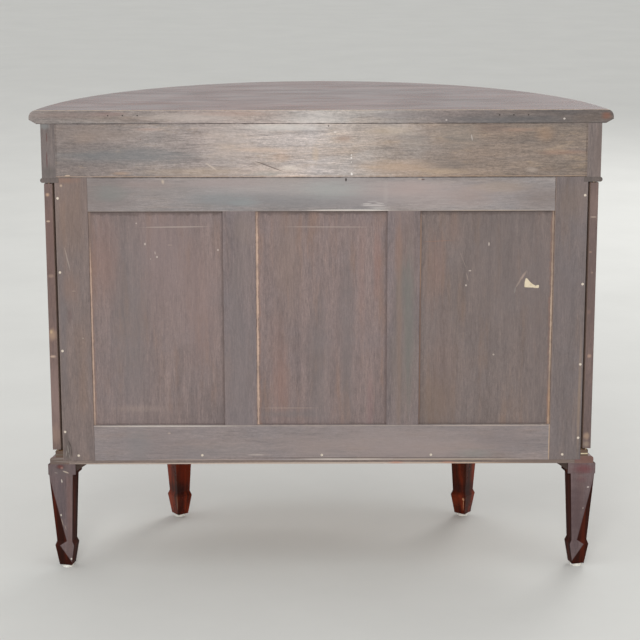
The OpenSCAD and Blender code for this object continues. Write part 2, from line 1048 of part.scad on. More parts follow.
module pin_room() {
    cylinder(r = pin_d / 2 + pin_room_gap, h = leaf_t + pin_past + pin_room_gap, $fn = fn_small);
}

// Side doors, from the front posts to the flat back
module door_side() {
    color(c_polish) difference() {
        band(door_ri, door_r, door_z, door_h);
        before(post_angle, post_w / 2 + door_side_gap);
        leaf_room(side_pivot_angle);
        knob_screw(side_knob_angle, eps);
    }
}

module door_side_right() {
    door_side();
}

module door_side_left() {
    left() door_side();
}

// Centre doors: the outer corner beside the post is cut at 45 degrees, so that it clears the post
module hinge_corner() {
    x = post_w / 2 + door_side_gap;
    at_angle(post_angle) translate([-x, door_corner - sqrt(pow(door_r, 2) - pow(x, 2)), 0])
        rotate([0, 0, -135]) translate([-far / 2, 0, 0]) cube([far, far, far]);
}

module door_centre() {
    color(c_polish) difference() {
        band(door_ri, door_r, door_z, door_h);
        past(post_angle, -post_w / 2 - door_side_gap);
        before(0, door_meet_gap / 2);
        hinge_corner();
        leaf_room(centre_pivot_angle);
        knob_screw(centre_knob_angle, eps);
    }
}

module door_centre_right() {
    door_centre();
}

module door_centre_left() {
    left() door_centre();
}

module leaves_side_right() {
    leaves(side_pivot_angle);
}

module leaves_side_left() {
    left() leaves(side_pivot_angle);
}

module leaves_centre_right() {
    leaves(centre_pivot_angle);
}

module leaves_centre_left() {
    left() leaves(centre_pivot_angle);
}

// Ball catches under the opening edges of the doors
module at_catches() {
    both() for (a = [centre_knob_angle, side_knob_angle])
        at_angle(a) translate([0, -bottom_r + catch_d / 2 + catch_in, floor_z]) children();
}

module catch_body(past_floor = 0) {
    translate([0, 0, -catch_h]) cylinder(d = catch_d, h = catch_h + past_floor, $fn = fn_small);
}

module ball_catches() {
    ball = 3 / 8 * catch_d;
    color(c_brass) at_catches() {
        catch_body();
        translate([0, 0, door_bottom_gap - catch_gap - ball]) sphere(r = ball, $fn = fn_small);
    }
}

// Knobs
module on_door(a) {
    at_angle(a) translate([0, -door_r, knob_z]) rotate([90, 0, 0]) children();
}

module knob_screw(a, past_face = 0) {
    on_door(a) translate([0, 0, -knob_screw_len])
        cylinder(d = knob_screw_d, h = knob_screw_len + past_face, $fn = fn_small);
}

module knob(a) {
    edge = knob_len / 4;
    color(c_brass) {
        on_door(a) rotate_extrude($fn = fn_small) {
            square([knob_flange_d / 2, knob_flange_t]);
            square([knob_neck_d / 2, knob_len]);
            translate([0, knob_len - 2 * edge]) square([knob_d / 2 - edge, 2 * edge]);
            translate([knob_d / 2 - edge, knob_len - edge]) circle(r = edge, $fn = fn_small);
        }
        knob_screw(a);
    }
}

module knob_side_right() {
    knob(side_knob_angle);
}

module knob_side_left() {
    left() knob(side_knob_angle);
}

module knob_centre_right() {
    knob(centre_knob_angle);
}

module knob_centre_left() {
    left() knob(centre_knob_angle);
}

// Drawer
module drawer_front() {
    color(c_polish) difference() {
        band(drawer_ri, frieze_r, drawer_z, drawer_h);
        past(post_angle, -post_w / 2 - drawer_gap);
        left() past(post_angle, -post_w / 2 - drawer_gap);
        drawer_bottom_blank();
        posts();
    }
}

module drawer_bottom_blank() {
    x = drawer_x - drawer_side_t + drawer_groove;
    intersection() {
        box(-x, x, -far / 2, drawer_rear_y, drawer_bottom_z, drawer_bottom_z + drawer_bottom_t);
        disc(drawer_ri + drawer_groove, drawer_bottom_z, drawer_bottom_t);
    }
}

module drawer_side() {
    color(c_inside) difference() {
        intersection() {
            box(drawer_x - drawer_side_t, drawer_x, -far / 2, drawer_rear_y,
                drawer_side_z, drawer_side_z + drawer_side_h);
            disc(drawer_ri, drawer_side_z, drawer_side_h);
        }
        drawer_bottom_blank();
    }
}

module drawer_side_right() {
    drawer_side();
}

module drawer_side_left() {
    left() drawer_side();
}

module drawer_back() {
    x = drawer_x - drawer_side_t;
    color(c_inside) box(-x, x, drawer_rear_y - drawer_side_t, drawer_rear_y,
        drawer_bottom_z + drawer_bottom_t, drawer_side_z + drawer_side_h - drawer_back_low);
}

module drawer_bottom() {
    color(c_inside) drawer_bottom_blank();
}

// Drawer pulls
module at_pull() {
    at_angle(pull_angle) translate([0, -pull_r, pull_z]) children();
}

function oval(w, h) = [
    for (i = [0:oval_steps - 1]) [w / 2 * cos(i * 360 / oval_steps), h / 2 * sin(i * 360 / oval_steps)]
];

module pull_plate() {
    intersection() {
        band(frieze_r, frieze_r + pull_plate_t, frieze_z, frieze_h);
        at_pull() translate([0, 0, -pull_drop]) rotate([90, 0, 0]) translate([0, 0, -2 * pull_out])
            linear_extrude(3 * pull_out) polygon(oval(pull_plate_w, pull_plate_h));
    }
}

module pull_plates() {
    color(c_brass) difference() {
        both() pull_plate();
        posts();
    }
}

// A turned post: its neck is seated in the drawer front, and its bolt ends in a nut on the inside
module post(x) {
    r = pull_head_d / 2;
    flat = r - pull_head_edge;
    bolt = pull_out + drawer_front_t;
    at_pull() translate([x, 0, 0]) rotate([-90, 0, 0]) rotate_extrude($fn = fn_small) {
        polygon([[0, -r], [flat, -r], [r, -flat], [r, flat], [flat, r], [0, r]]);
        square([pull_neck_d / 2, pull_out + pull_seat]);
        square([pull_bolt_d / 2, bolt + pull_nut_t]);
        translate([0, bolt]) square([pull_nut_d / 2, pull_nut_t]);
    }
}

module posts() {
    both() {
        post(pull_post_x);
        post(-pull_post_x);
    }
}

module bail_pins(gap = 0, deeper = 0) {
    h = bail_x - pull_post_x + pull_head_d / 4 + deeper;
    for (s = [-1, 1]) translate([s * bail_x, 0, 0]) rotate([0, -s * 90, 0])
        cylinder(r = bail_pin_d / 2 + gap, h = h, $fn = fn_small);
}

module pull_posts() {
    color(c_brass) difference() {
        posts();
        both() at_pull() bail_pins(pin_clear, bail_end);
    }
}

module bail() {
    color(c_brass) at_pull() {
        bail_pins();
        for (s = [-1, 1]) translate([s * bail_x, 0, 0]) sphere(d = bail_d, $fn = fn_small);
        rotate([90, 0, 0]) rotate([0, 0, 180]) rotate_extrude(angle = 180, $fn = 2 * fn_small)
            translate([bail_x, 0]) circle(d = bail_d, $fn = fn_small);
    }
}

module bail_right() {
    bail();
}

module bail_left() {
    left() bail();
}

top_board();
frieze_back();
frieze_side_left();
frieze_side_right();
frieze_blocks();
frieze_top_rail();
waist_rail();
dust_panel();
drawer_runners();
drawer_kickers();
carcase_bottom();
base_band();
base_back_rail();
leg_front_left();
leg_front_right();
leg_rear_left();
leg_rear_right();
glides();
front_post_left();
front_post_right();
rear_post_left();
rear_post_right();
partition_left();
partition_right();
shelf_centre();
side_shelves();
shelf_pins();
back_stile_left();
back_stile_right();
back_top_rail();
back_bottom_rail();
back_muntins();
back_panel_left();
back_panel_centre();
back_panel_right();
back_nails();
corner_blocks();
hinge_plates();
ball_catches();
door_side_left();
door_side_right();
door_centre_left();
door_centre_right();
leaves_side_left();
leaves_side_right();
leaves_centre_left();
leaves_centre_right();
knob_side_left();
knob_side_right();
knob_centre_left();
knob_centre_right();
drawer_front();
drawer_side_left();
drawer_side_right();
drawer_back();
drawer_bottom();
pull_plates();
pull_posts();
bail_left();
bail_right();
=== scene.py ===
"""Demi lune sideboard: weathered back, polished bow front, brass fittings and a torn paper scrap."""

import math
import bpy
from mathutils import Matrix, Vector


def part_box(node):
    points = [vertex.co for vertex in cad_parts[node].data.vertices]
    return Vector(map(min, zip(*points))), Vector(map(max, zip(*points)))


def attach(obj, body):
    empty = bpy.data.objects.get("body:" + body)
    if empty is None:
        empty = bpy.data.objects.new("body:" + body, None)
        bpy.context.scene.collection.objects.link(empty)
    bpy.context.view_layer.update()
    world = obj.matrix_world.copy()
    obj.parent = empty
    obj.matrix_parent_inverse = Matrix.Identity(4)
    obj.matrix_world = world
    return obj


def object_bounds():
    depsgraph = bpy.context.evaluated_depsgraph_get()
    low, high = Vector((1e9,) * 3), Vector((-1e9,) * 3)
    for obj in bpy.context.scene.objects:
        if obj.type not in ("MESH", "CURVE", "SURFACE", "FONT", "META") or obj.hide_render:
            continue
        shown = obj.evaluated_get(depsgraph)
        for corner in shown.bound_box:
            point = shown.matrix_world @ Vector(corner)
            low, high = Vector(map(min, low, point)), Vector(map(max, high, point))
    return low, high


bl_info = {
    "name": "Demi lune sideboard",
    "version": (1, 0, 0),
    "blender": (4, 5, 0),
    "location": "3D View > Sidebar > Sideboard",
    "description": "Dresses a half-round sideboard with a weathered back and a polished bow front",
    "category": "Object",
}

import bmesh
import bpy
from mathutils import Vector

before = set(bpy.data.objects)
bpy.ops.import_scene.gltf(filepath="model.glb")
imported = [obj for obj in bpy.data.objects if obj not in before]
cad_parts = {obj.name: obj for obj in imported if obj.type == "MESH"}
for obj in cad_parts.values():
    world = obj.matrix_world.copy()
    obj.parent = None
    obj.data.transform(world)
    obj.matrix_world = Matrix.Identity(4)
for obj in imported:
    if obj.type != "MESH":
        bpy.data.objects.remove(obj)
cad_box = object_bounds()

# The plan is one circle about an upright line behind the flat back
LOW, HIGH = cad_box
WIDTH = HIGH.x - LOW.x
DEPTH = HIGH.y - LOW.y
BACK = HIGH.y
ARC_R = ((WIDTH / 2) ** 2 + DEPTH**2) / (2 * DEPTH)
ARC_Y = LOW.y + ARC_R

# Marks on the wood are placed in millimetres, and reach through the piece along Y
MM = 1000
ENDLESS = 1000
ROOF = HIGH.z * MM

# A mark below this half size has a crisp rim. A rim is how far it wanders, its softness and its grain
THIN_MARK = 2.0
THIN_RIM = 0.48, 0.25, 400.0
BROAD_RIM = 1.8, 0.75

# Distances from the back plane: raw cut faces, and a pale dust tone on the inner faces near the hinges,
# which also paints light into the shaded gaps there
RAW_NEAR, RAW_FAR = 0.0006, 0.0012
DUST_AND_LIGHT_END, DUST_AND_LIGHT_START = 0.008, 0.035

# Only the rear legs carry painted shade on their side, inner and back faces, and they start at this Y
PAINTED_SHADE_FROM = 0.1, 0.15

# How fine the streaks of the back rails are
RAIL_STREAKS = 70.0

# The torn scrap: its corner at X and Z, its height for a width of 1, its thickness and its gap to the panel
PAPER_CORNER = -0.3927, 0.5708
PAPER_SHAPE = 0.69
PAPER_THICK = 0.00025
PAPER_GAP = 0.0003

# The camera stands behind the sideboard and looks slightly down. Each lamp is a name, a place and a size
CAMERA_PLACE = (0.0146, BACK + 3.861, 1.4405)
CAMERA_TURN = (76.442, 0.093, 179.808)
SENSOR = 36.0
FLOOR_RADIUS = 60.0
LAMPS = ("lamp_behind", (0.5, 4.6, 2.9), 1.6), ("lamp_front", (-2.2, -4.2, 3.2), 2.4)
LAMP_TARGET = Vector((0, 0, 0.45))


def tone(red, green, blue):
    """A colour as it is seen, 0 to 255, in the linear values that Blender takes."""
    seen = (c / 255 for c in (red, green, blue))
    return tuple(c / 12.92 if c <= 0.04045 else ((c + 0.055) / 1.055) ** 2.4 for c in seen)


def colour_setting(name, description, *seen):
    return bpy.props.FloatVectorProperty(
        name=name, description=description, default=tone(*seen), subtype="COLOR", min=0, max=1)


class SideboardWood(bpy.types.PropertyGroup):
    polish: colour_setting("Polished wood", "Middle tone of the mahogany", 98, 42, 24)
    polish_dark: colour_setting("Polished wood, dark", "Dark streaks of the mahogany", 58, 22, 14)
    polish_light: colour_setting("Polished wood, light", "Light streaks of the mahogany", 134, 66, 38)
    worn: colour_setting("Worn wood", "Light wood where the dirt is rubbed off", 190, 160, 130)
    inside: colour_setting("Inside wood", "Middle tone of the shelves and drawer sides", 150, 112, 78)
    soft_edge: bpy.props.FloatProperty(
        name="Softened edge", description="Radius that the light sees on the wooden edges",
        default=0.0011, min=0, max=0.005, unit="LENGTH")


class SideboardTrim(bpy.types.PropertyGroup):
    brass: colour_setting("Brass", "Colour of the pulls, knobs and hinge leaves", 190, 148, 84)
    plate: colour_setting("Hinge plates", "Pale rubbed brass of the hinge plates", 222, 206, 176)
    steel: colour_setting("Nail heads", "Colour of the nail heads in the back", 232, 220, 205)
    glide: colour_setting("Glides", "Colour of the glides under the legs", 250, 246, 236)
    paper: colour_setting("Paper", "Colour of the torn scrap on the back", 232, 216, 188)
    paper_width: bpy.props.FloatProperty(
        name="Paper width", description="Width of the torn scrap",
        default=0.0285, min=0.01, max=0.1, unit="LENGTH")


class SideboardStage(bpy.types.PropertyGroup):
    floor: colour_setting("Floor", "Colour of the pale floor", 214, 214, 210)
    sky: bpy.props.FloatProperty(
        name="Room light", description="Strength of the light from all round",
        default=0.78, min=0, max=3)
    lamp: bpy.props.FloatProperty(
        name="Lamps", description="Power of each large lamp in watts",
        default=74.0, min=0, max=500)
    lens: bpy.props.FloatProperty(
        name="Lens", description="Focal length of the camera in millimetres",
        default=115.08, min=20, max=300)


class Recipe:
    """The nodes of one material. Each step returns the socket that a later step takes."""

    def __init__(self, name):
        self.material = bpy.data.materials.new(name)
        self.material.use_nodes = True
        self.tree = self.material.node_tree
        self.tree.nodes.clear()
        self.count = 0
        self.rags = {}
        self.shader = self.add("ShaderNodeBsdfPrincipled")
        output = self.add("ShaderNodeOutputMaterial")
        self.tree.links.new(self.shader.outputs["BSDF"], output.inputs["Surface"])
        coords = self.add("ShaderNodeTexCoord")
        self.place = coords.outputs["Object"]
        self.normal = coords.outputs["Normal"]

    def add(self, kind, **settings):
        node = self.tree.nodes.new(kind)
        node.location = (200 * (self.count % 14), -260 * (self.count // 14))
        self.count += 1
        for key, value in settings.items():
            setattr(node, key, value)
        return node

    def feed(self, socket, value):
        if isinstance(value, bpy.types.NodeSocket):
            self.tree.links.new(value, socket)
        elif socket.type == "RGBA":
            socket.default_value = (*value, 1)
        else:
            socket.default_value = value

    def put(self, node, *values, **named):
        """Feeds the first sockets in order and others by name, and returns the first output."""
        for socket, value in zip(node.inputs, values):
            self.feed(socket, value)
        for key, value in named.items():
            self.feed(node.inputs[key.replace("_", " ")], value)
        return node.outputs[0]

    def math(self, how, a, b=0):
        return self.put(self.add("ShaderNodeMath", operation=how), a, b)

    def times(self, a, b):
        return self.math("MULTIPLY", a, b)

    def axes(self, at):
        node = self.add("ShaderNodeSeparateXYZ")
        self.put(node, at)
        return node.outputs

    def noise(self, at, size, detail, rough=0.5, twist=0, shift=(0, 0, 0)):
        """Noise of one size, or drawn out along an axis when the size has three values."""
        if isinstance(size, tuple):
            at = self.put(self.add("ShaderNodeMapping"), Vector=at, Scale=size, Location=shift)
            size = 1
        return self.put(self.add("ShaderNodeTexNoise"), Vector=at, Scale=size, Detail=detail,
                        Roughness=rough, Distortion=twist)

    def between(self, value, low, high, start=0, end=1):
        return self.put(self.add("ShaderNodeMapRange", interpolation_type="SMOOTHSTEP"),
                        value, low, high, start, end)

    def ramp(self, value, *stops):
        node = self.add("ShaderNodeValToRGB")
        points = node.color_ramp.elements
        while len(points) < len(stops):
            points.new(0.5)
        for point, (where, _) in zip(points, stops):
            point.position = where
        for point, (_, colour) in zip(points, stops):
            point.color = (*colour, 1)
        return self.put(node, value)

    def tones(self, value, colour, *stops):
        """A ramp of shades of one colour: where, amount and, if any, warmth."""
        return self.ramp(value, *((where, shade(colour, *change)) for where, *change in stops))

    def seen_ramp(self, value, *stops):
        """A ramp of colours as they are seen: where, red, green and blue."""
        return self.ramp(value, *((where, tone(*seen)) for where, *seen in stops))

    def blend(self, share, a, b, how="MIX"):
        node = self.add("ShaderNodeMix", data_type="RGBA", blend_type=how)
        self.feed(node.inputs[0], share)
        self.feed(node.inputs[6], a)
        self.feed(node.inputs[7], b)
        return node.outputs[2]

    def lay(self, mask, strength, colour, patch):
        return self.blend(self.times(mask, strength), colour, patch)

    def mix(self, *parts):
        """The sum of values, each times its weight."""
        products = [self.times(value, weight) for value, weight in parts]
        total = products[0]
        for product in products[1:]:
            total = self.math("ADD", total, product)
        return total

    def level(self, share, a, b):
        node = self.add("ShaderNodeMix", data_type="FLOAT")
        self.feed(node.inputs[0], share)
        self.feed(node.inputs[2], a)
        self.feed(node.inputs[3], b)
        return node.outputs[0]

    def arc(self):
        """Places measured along the bow, out from its centre and up."""
        x, y, z = self.axes(self.place)
        forward = self.math("SUBTRACT", ARC_Y, y)
        along = self.times(self.math("ARCTAN2", x, forward), ARC_R)
        out = self.math("SQRT", self.math("ADD", self.times(x, x),
                                          self.times(forward, forward)))
        return self.put(self.add("ShaderNodeCombineXYZ"), along, out, z)

    def spot(self, x, z, half_x, half_z, turn, along):
        """A patch seen from the back or the front, 1 inside and 0 outside, with a ragged rim."""
        ragged, soft, grain = THIN_RIM if min(half_x, half_z) < THIN_MARK else (*BROAD_RIM, along)
        inside = self.put(self.add("ShaderNodeMapping", vector_type="TEXTURE"), Vector=self.place,
                          Location=(x / MM, 0, z / MM), Rotation=(0, math.radians(turn), 0),
                          Scale=(half_x / MM, ENDLESS, half_z / MM))
        size = self.add("ShaderNodeVectorMath", operation="LENGTH")
        self.put(size, inside)
        far = self.math("ADD", size.outputs["Value"], self.wander(grain, ragged))
        return self.between(far, 1 + soft, 1 - soft)

    def rag(self, grain):
        """Noise for ragged rims, made once for each size of grain or each direction of the fibres."""
        if grain not in self.rags:
            if isinstance(grain, str):
                self.rags[grain] = self.noise(self.place, drawn(grain, 14, 120), 6, 0.75)
            else:
                self.rags[grain] = self.noise(self.place, grain, 4, 0.65)
        return self.rags[grain]

    def wander(self, grain, reach):
        """Moves a limit to and fro, half the reach each way."""
        return self.times(self.math("SUBTRACT", self.rag(grain), 0.5), reach)

    def grain(self, at, along, seed=0, broad_size=11, streak_size=85):
        """Broad figure, streaks, fibres and pores of wood whose grain runs along one axis."""
        shift = (seed, seed * 0.7, seed * 1.3)
        broad = self.noise(at, drawn(along, 2, broad_size), 3, 0.55, 0.3, shift)
        streak = self.noise(at, drawn(along, 7, streak_size), 5, 0.65, 0.2, shift)
        fibre = self.noise(at, drawn(along, 46, 420), 4, 0.7, shift=shift)
        pores = self.noise(at, drawn(along, 90, 1500), 1, shift=shift)
        return broad, streak, fibre, self.between(pores, 0.6, 0.72)

    def soften(self, radius):
        return self.put(self.add("ShaderNodeBevel", samples=4), Radius=radius)

    def bump(self, height, strength, distance, normal=None):
        node = self.add("ShaderNodeBump")
        if normal is not None:
            self.feed(node.inputs["Normal"], normal)
        return self.put(node, Strength=strength, Distance=distance, Height=height)

    def done(self, colour, rough, normal=None, **settings):
        if normal is not None:
            settings["Normal"] = normal
        self.put(self.shader, Base_Color=colour, Roughness=rough, **settings)
        return self.material

    def wooden(self, wood, colour, rough, height, strength=0.3, depth=0.0005, sheen=0.4):
        """Wood with relief from its grain and softened edges."""
        relief = self.bump(height, strength, depth, self.soften(wood.soft_edge))
        return self.done(colour, rough, relief, Specular_IOR_Level=sheen)


def drawn(along, length, width):
    """The scale of a noise that is drawn out along one axis."""
    return tuple(length if axis == along else width for axis in "xyz")


def shade(colour, amount, warm=0):
    """The same colour lighter or darker, and warmer or cooler."""
    red, green, blue = colour
    return (min(1, red * amount * (1 + warm)), min(1, green * amount), min(1, blue * amount * (1 - warm)))


def bare_wood(cook, at, along, middle, seed=0, contrast=1, red=0.35, streak_size=85):
    """Colour, height and roughness of old unpolished mahogany."""
    broad, streak, fibre, pores = cook.grain(at, along, seed, streak_size=streak_size)
    mixed = cook.mix((broad, 0.3), (streak, 0.35), (fibre, 0.35))
    spread = 0.3 * contrast
    colour = cook.tones(mixed, middle, (0.38, 1 - spread, -0.02), (0.5, 1), (0.62, 1 + spread, 0.02))
    glow = cook.noise(at, drawn(along, 5, 40), 4, 0.6, shift=(seed + 4, 2, seed))
    colour = cook.lay(cook.between(glow, 0.5, 0.72), red, colour, shade(middle, 1.02, 0.22))
    film = cook.between(cook.noise(cook.place, 9, 4, 0.65), 0.42, 0.68)
    colour = cook.lay(film, 0.35, colour, shade(middle, 1.1, -0.08))
    dust = cook.noise(cook.place, 520, 2, 0.7)
    colour = cook.blend(cook.between(dust, 0.52, 0.78, 0, spread), colour, shade(middle, 1.5, -0.04))
    colour = cook.blend(cook.between(dust, 0.45, 0.25, 0, spread), colour, shade(middle, 0.6))
    colour = cook.lay(pores, 0.3, colour, shade(middle, 0.6))
    height = cook.mix((fibre, 0.6), (streak, 1), (pores, -0.5))
    rough = cook.between(broad, 0.3, 0.7, 0.62, 0.82)
    return colour, height, rough


def polished_wood(cook, at, along, wood, seed=0):
    """Colour and height of polished mahogany with its pores nearly filled."""
    broad, streak, fibre, pores = cook.grain(at, along, seed, broad_size=8, streak_size=105)
    ribbon = cook.noise(at, drawn(along, 3, 36), 3, 0.55, 0.5, shift=(seed, 3, 1))
    mixed = cook.mix((broad, 0.3), (streak, 0.42), (ribbon, 0.28))
    colour = cook.ramp(mixed, (0.34, wood.polish_dark), (0.5, wood.polish), (0.68, wood.polish_light))
    colour = cook.blend(cook.between(fibre, 0.35, 0.75, 0, 0.35), colour, wood.polish_dark)
    colour = cook.lay(pores, 0.5, colour, shade(wood.polish_dark, 0.5))
    return colour, pores


def facing_back(cook):
    """1 on faces cut flush with the flat back, 0 elsewhere."""
    turned = cook.between(cook.axes(cook.normal)[1], 0.75, 0.9)
    near = cook.between(cook.axes(cook.place)[1], BACK - RAW_FAR, BACK - RAW_NEAR)
    return cook.times(turned, near)


def inwards(cook):
    """From 1 on curved faces turned to the inside of the bow to -1 on those turned out."""
    x, y, _ = cook.axes(cook.place)
    side, front, _ = cook.axes(cook.normal)
    turned = cook.math("SUBTRACT", cook.times(front, cook.math("SUBTRACT", ARC_Y, y)),
                       cook.times(side, x))
    return cook.math("DIVIDE", turned, ARC_R)


def facing_in(cook):
    """1 on undersides and on curved faces turned to the inside of the bow, 0 elsewhere."""
    return cook.math("MAXIMUM", cook.between(inwards(cook), 0.5, 0.8),
                     cook.between(cook.axes(cook.normal)[2], -0.8, -0.95))


def toned(cook, bare, board, middle):
    """Bare wood made around one middle tone, brought to the tones of a board; on the top and the frieze
    these tones carry painted light.
    """
    return cook.blend(1, bare, cook.blend(1, board, middle, "DIVIDE"), "MULTIPLY")


def mottle(cook, colour, along, amount, seed=0):
    """Lightens and darkens a colour in flecks of a few millimetres, drawn out along the grain."""
    swing = 0.65 * amount
    for length, width in ((150, 330), (40, 620)):
        fleck = cook.noise(cook.place, drawn(along, length, width), 4, 0.8, 0.4, (seed, 1, seed * 2))
        colour = cook.blend(1, colour, cook.between(fleck, 0.3, 0.7, 1 - swing, 1 + swing), "MULTIPLY")
    return colour


def dress(material, *names):
    for name in names:
        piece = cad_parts[name]
        piece.data.materials.clear()
        piece.data.materials.append(material)


def add_spots(cook, colour, spots, along="x"):
    """Lays patches over a colour: X, Z, half sizes, seen colour, percent and, if any, turn in degrees."""
    for x, z, half_x, half_z, patch, percent, *turn in spots:
        mask = cook.spot(x, z, half_x, half_z, sum(turn), along)
        colour = cook.lay(mask, percent / 100, colour, tone(*patch))
    return colour


def add_lines(cook, colour, lines):
    """Bands across a piece: axis, place and half width in millimetres, seen colour and percent."""
    x, _, z = cook.axes(cook.place)
    for axis, place, half, patch, percent in lines:
        place, half, strength = place / MM, half / MM, percent / 100
        off = cook.math("ABSOLUTE", cook.math("SUBTRACT", x if axis == "x" else z, place))
        off = cook.math("ADD", off, cook.wander(90, half * 2.4))
        mask = cook.between(off, half * 1.25, half * 0.6)
        fade = cook.between(cook.rag(24), 0.3, 0.55, 0.45 * strength, strength)
        colour = cook.lay(mask, fade, colour, tone(*patch))
    return colour


def weather(node, name, wood, along, middle, spots=(), seed=0, contrast=1, red=0.35, lines=(),
            streak_size=85, over=()):
    """Dresses a piece of the bare back. Its spots lie under its lines, and those in over lie on them."""
    cook = Recipe(name)
    middle = tone(*middle)
    plain, height, rough = bare_wood(cook, cook.place, along, middle, seed, contrast, red, streak_size)
    colour = mottle(cook, plain, along, 0.13 * contrast, seed)
    colour = add_spots(cook, colour, spots, along)
    colour = add_spots(cook, add_lines(cook, colour, lines), over, along)
    plain = toned(cook, plain, wood.inside, middle)
    colour = cook.blend(cook.between(cook.axes(cook.normal)[1], -0.2, -0.6), colour, plain)
    dress(cook.wooden(wood, colour, rough, height, 0.35, 0.0006, 0.35), node)


class SIDEBOARD_OT_top(bpy.types.Operator):
    """Polishes the top board and leaves its back edge bare"""
    bl_idname = "sideboard.top"
    bl_label = "Top board"

    def execute(self, context):
        wood = context.scene.sideboard_wood
        cook = Recipe("top_polish")
        shine, pores = polished_wood(cook, cook.place, "x", wood, 3)
        shine = cook.blend(0.35, shine, shade(wood.polish_dark, 0.8))
        x = cook.axes(cook.place)[0]
        # Painted light: the back edge is brightest at its middle and darker towards its ends
        board = cook.seen_ramp(
            cook.between(x, -0.56, 0.56), (0.03, 106, 98, 95), (0.2, 130, 120, 117), (0.34, 154, 146, 142),
            (0.5, 184, 176, 171), (0.62, 174, 161, 155), (0.82, 162, 149, 144), (0.97, 138, 129, 125))
        middle = tone(142, 134, 130)
        bare, height, rough = bare_wood(cook, cook.place, "x", middle, 8, 1.3)
        bare = mottle(cook, toned(cook, bare, board, middle), "x", 0.26, 2)
        bare = add_spots(cook, bare, (
            (487, 910.2, 54, 6, (132, 112, 106), 45), (245, 905, 90, 6, (196, 184, 176), 45),
            (403, 912, 30, 4, (150, 122, 116), 45), (170, 912.5, 60, 5, (178, 152, 142), 40),
            (20, 901, 60, 7, (200, 194, 190), 40), (-140, 909, 50, 5, (142, 132, 132), 40),
            (-340, 899, 110, 6, (104, 104, 106), 45), (-541, 907.5, 8, 6, (140, 92, 72), 60),
            (-461.2, 901.4, 2.2, 1.8, (216, 206, 198), 80), (-237.3, 899.1, 1.8, 1.6, (210, 200, 194), 60),
        ))
        low = ROOF - MM * (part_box("top_board")[1].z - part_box("top_board")[0].z)
        bare = add_lines(cook, bare, (("z", ROOF - 0.4, 0.7, (196, 176, 158), 80),
                                      ("z", low + 0.2, 0.7, (60, 52, 50), 90)))
        bare = add_spots(cook, bare, [
            (place, ROOF - 10.3, 1.4, 1.4, (44, 36, 34), 90)
            for place in (405, 377, 349, -338, -365, -393)])
        back = facing_back(cook)
        under = cook.between(cook.axes(cook.normal)[2], -0.97, -0.99)
        shine = cook.blend(under, shine, wood.inside)
        colour = cook.blend(back, shine, bare)
        matt = cook.math("MAXIMUM", back, under)
        smear = cook.noise(cook.place, (7, 26, 26), 4, 0.6)
        gloss = cook.between(smear, 0.3, 0.75, 0.2, 0.3)
        rough = cook.level(matt, gloss, rough)
        dress(cook.wooden(wood, colour, rough, cook.times(height, matt), 0.35, 0.0006), "top_board")
        return {"FINISHED"}


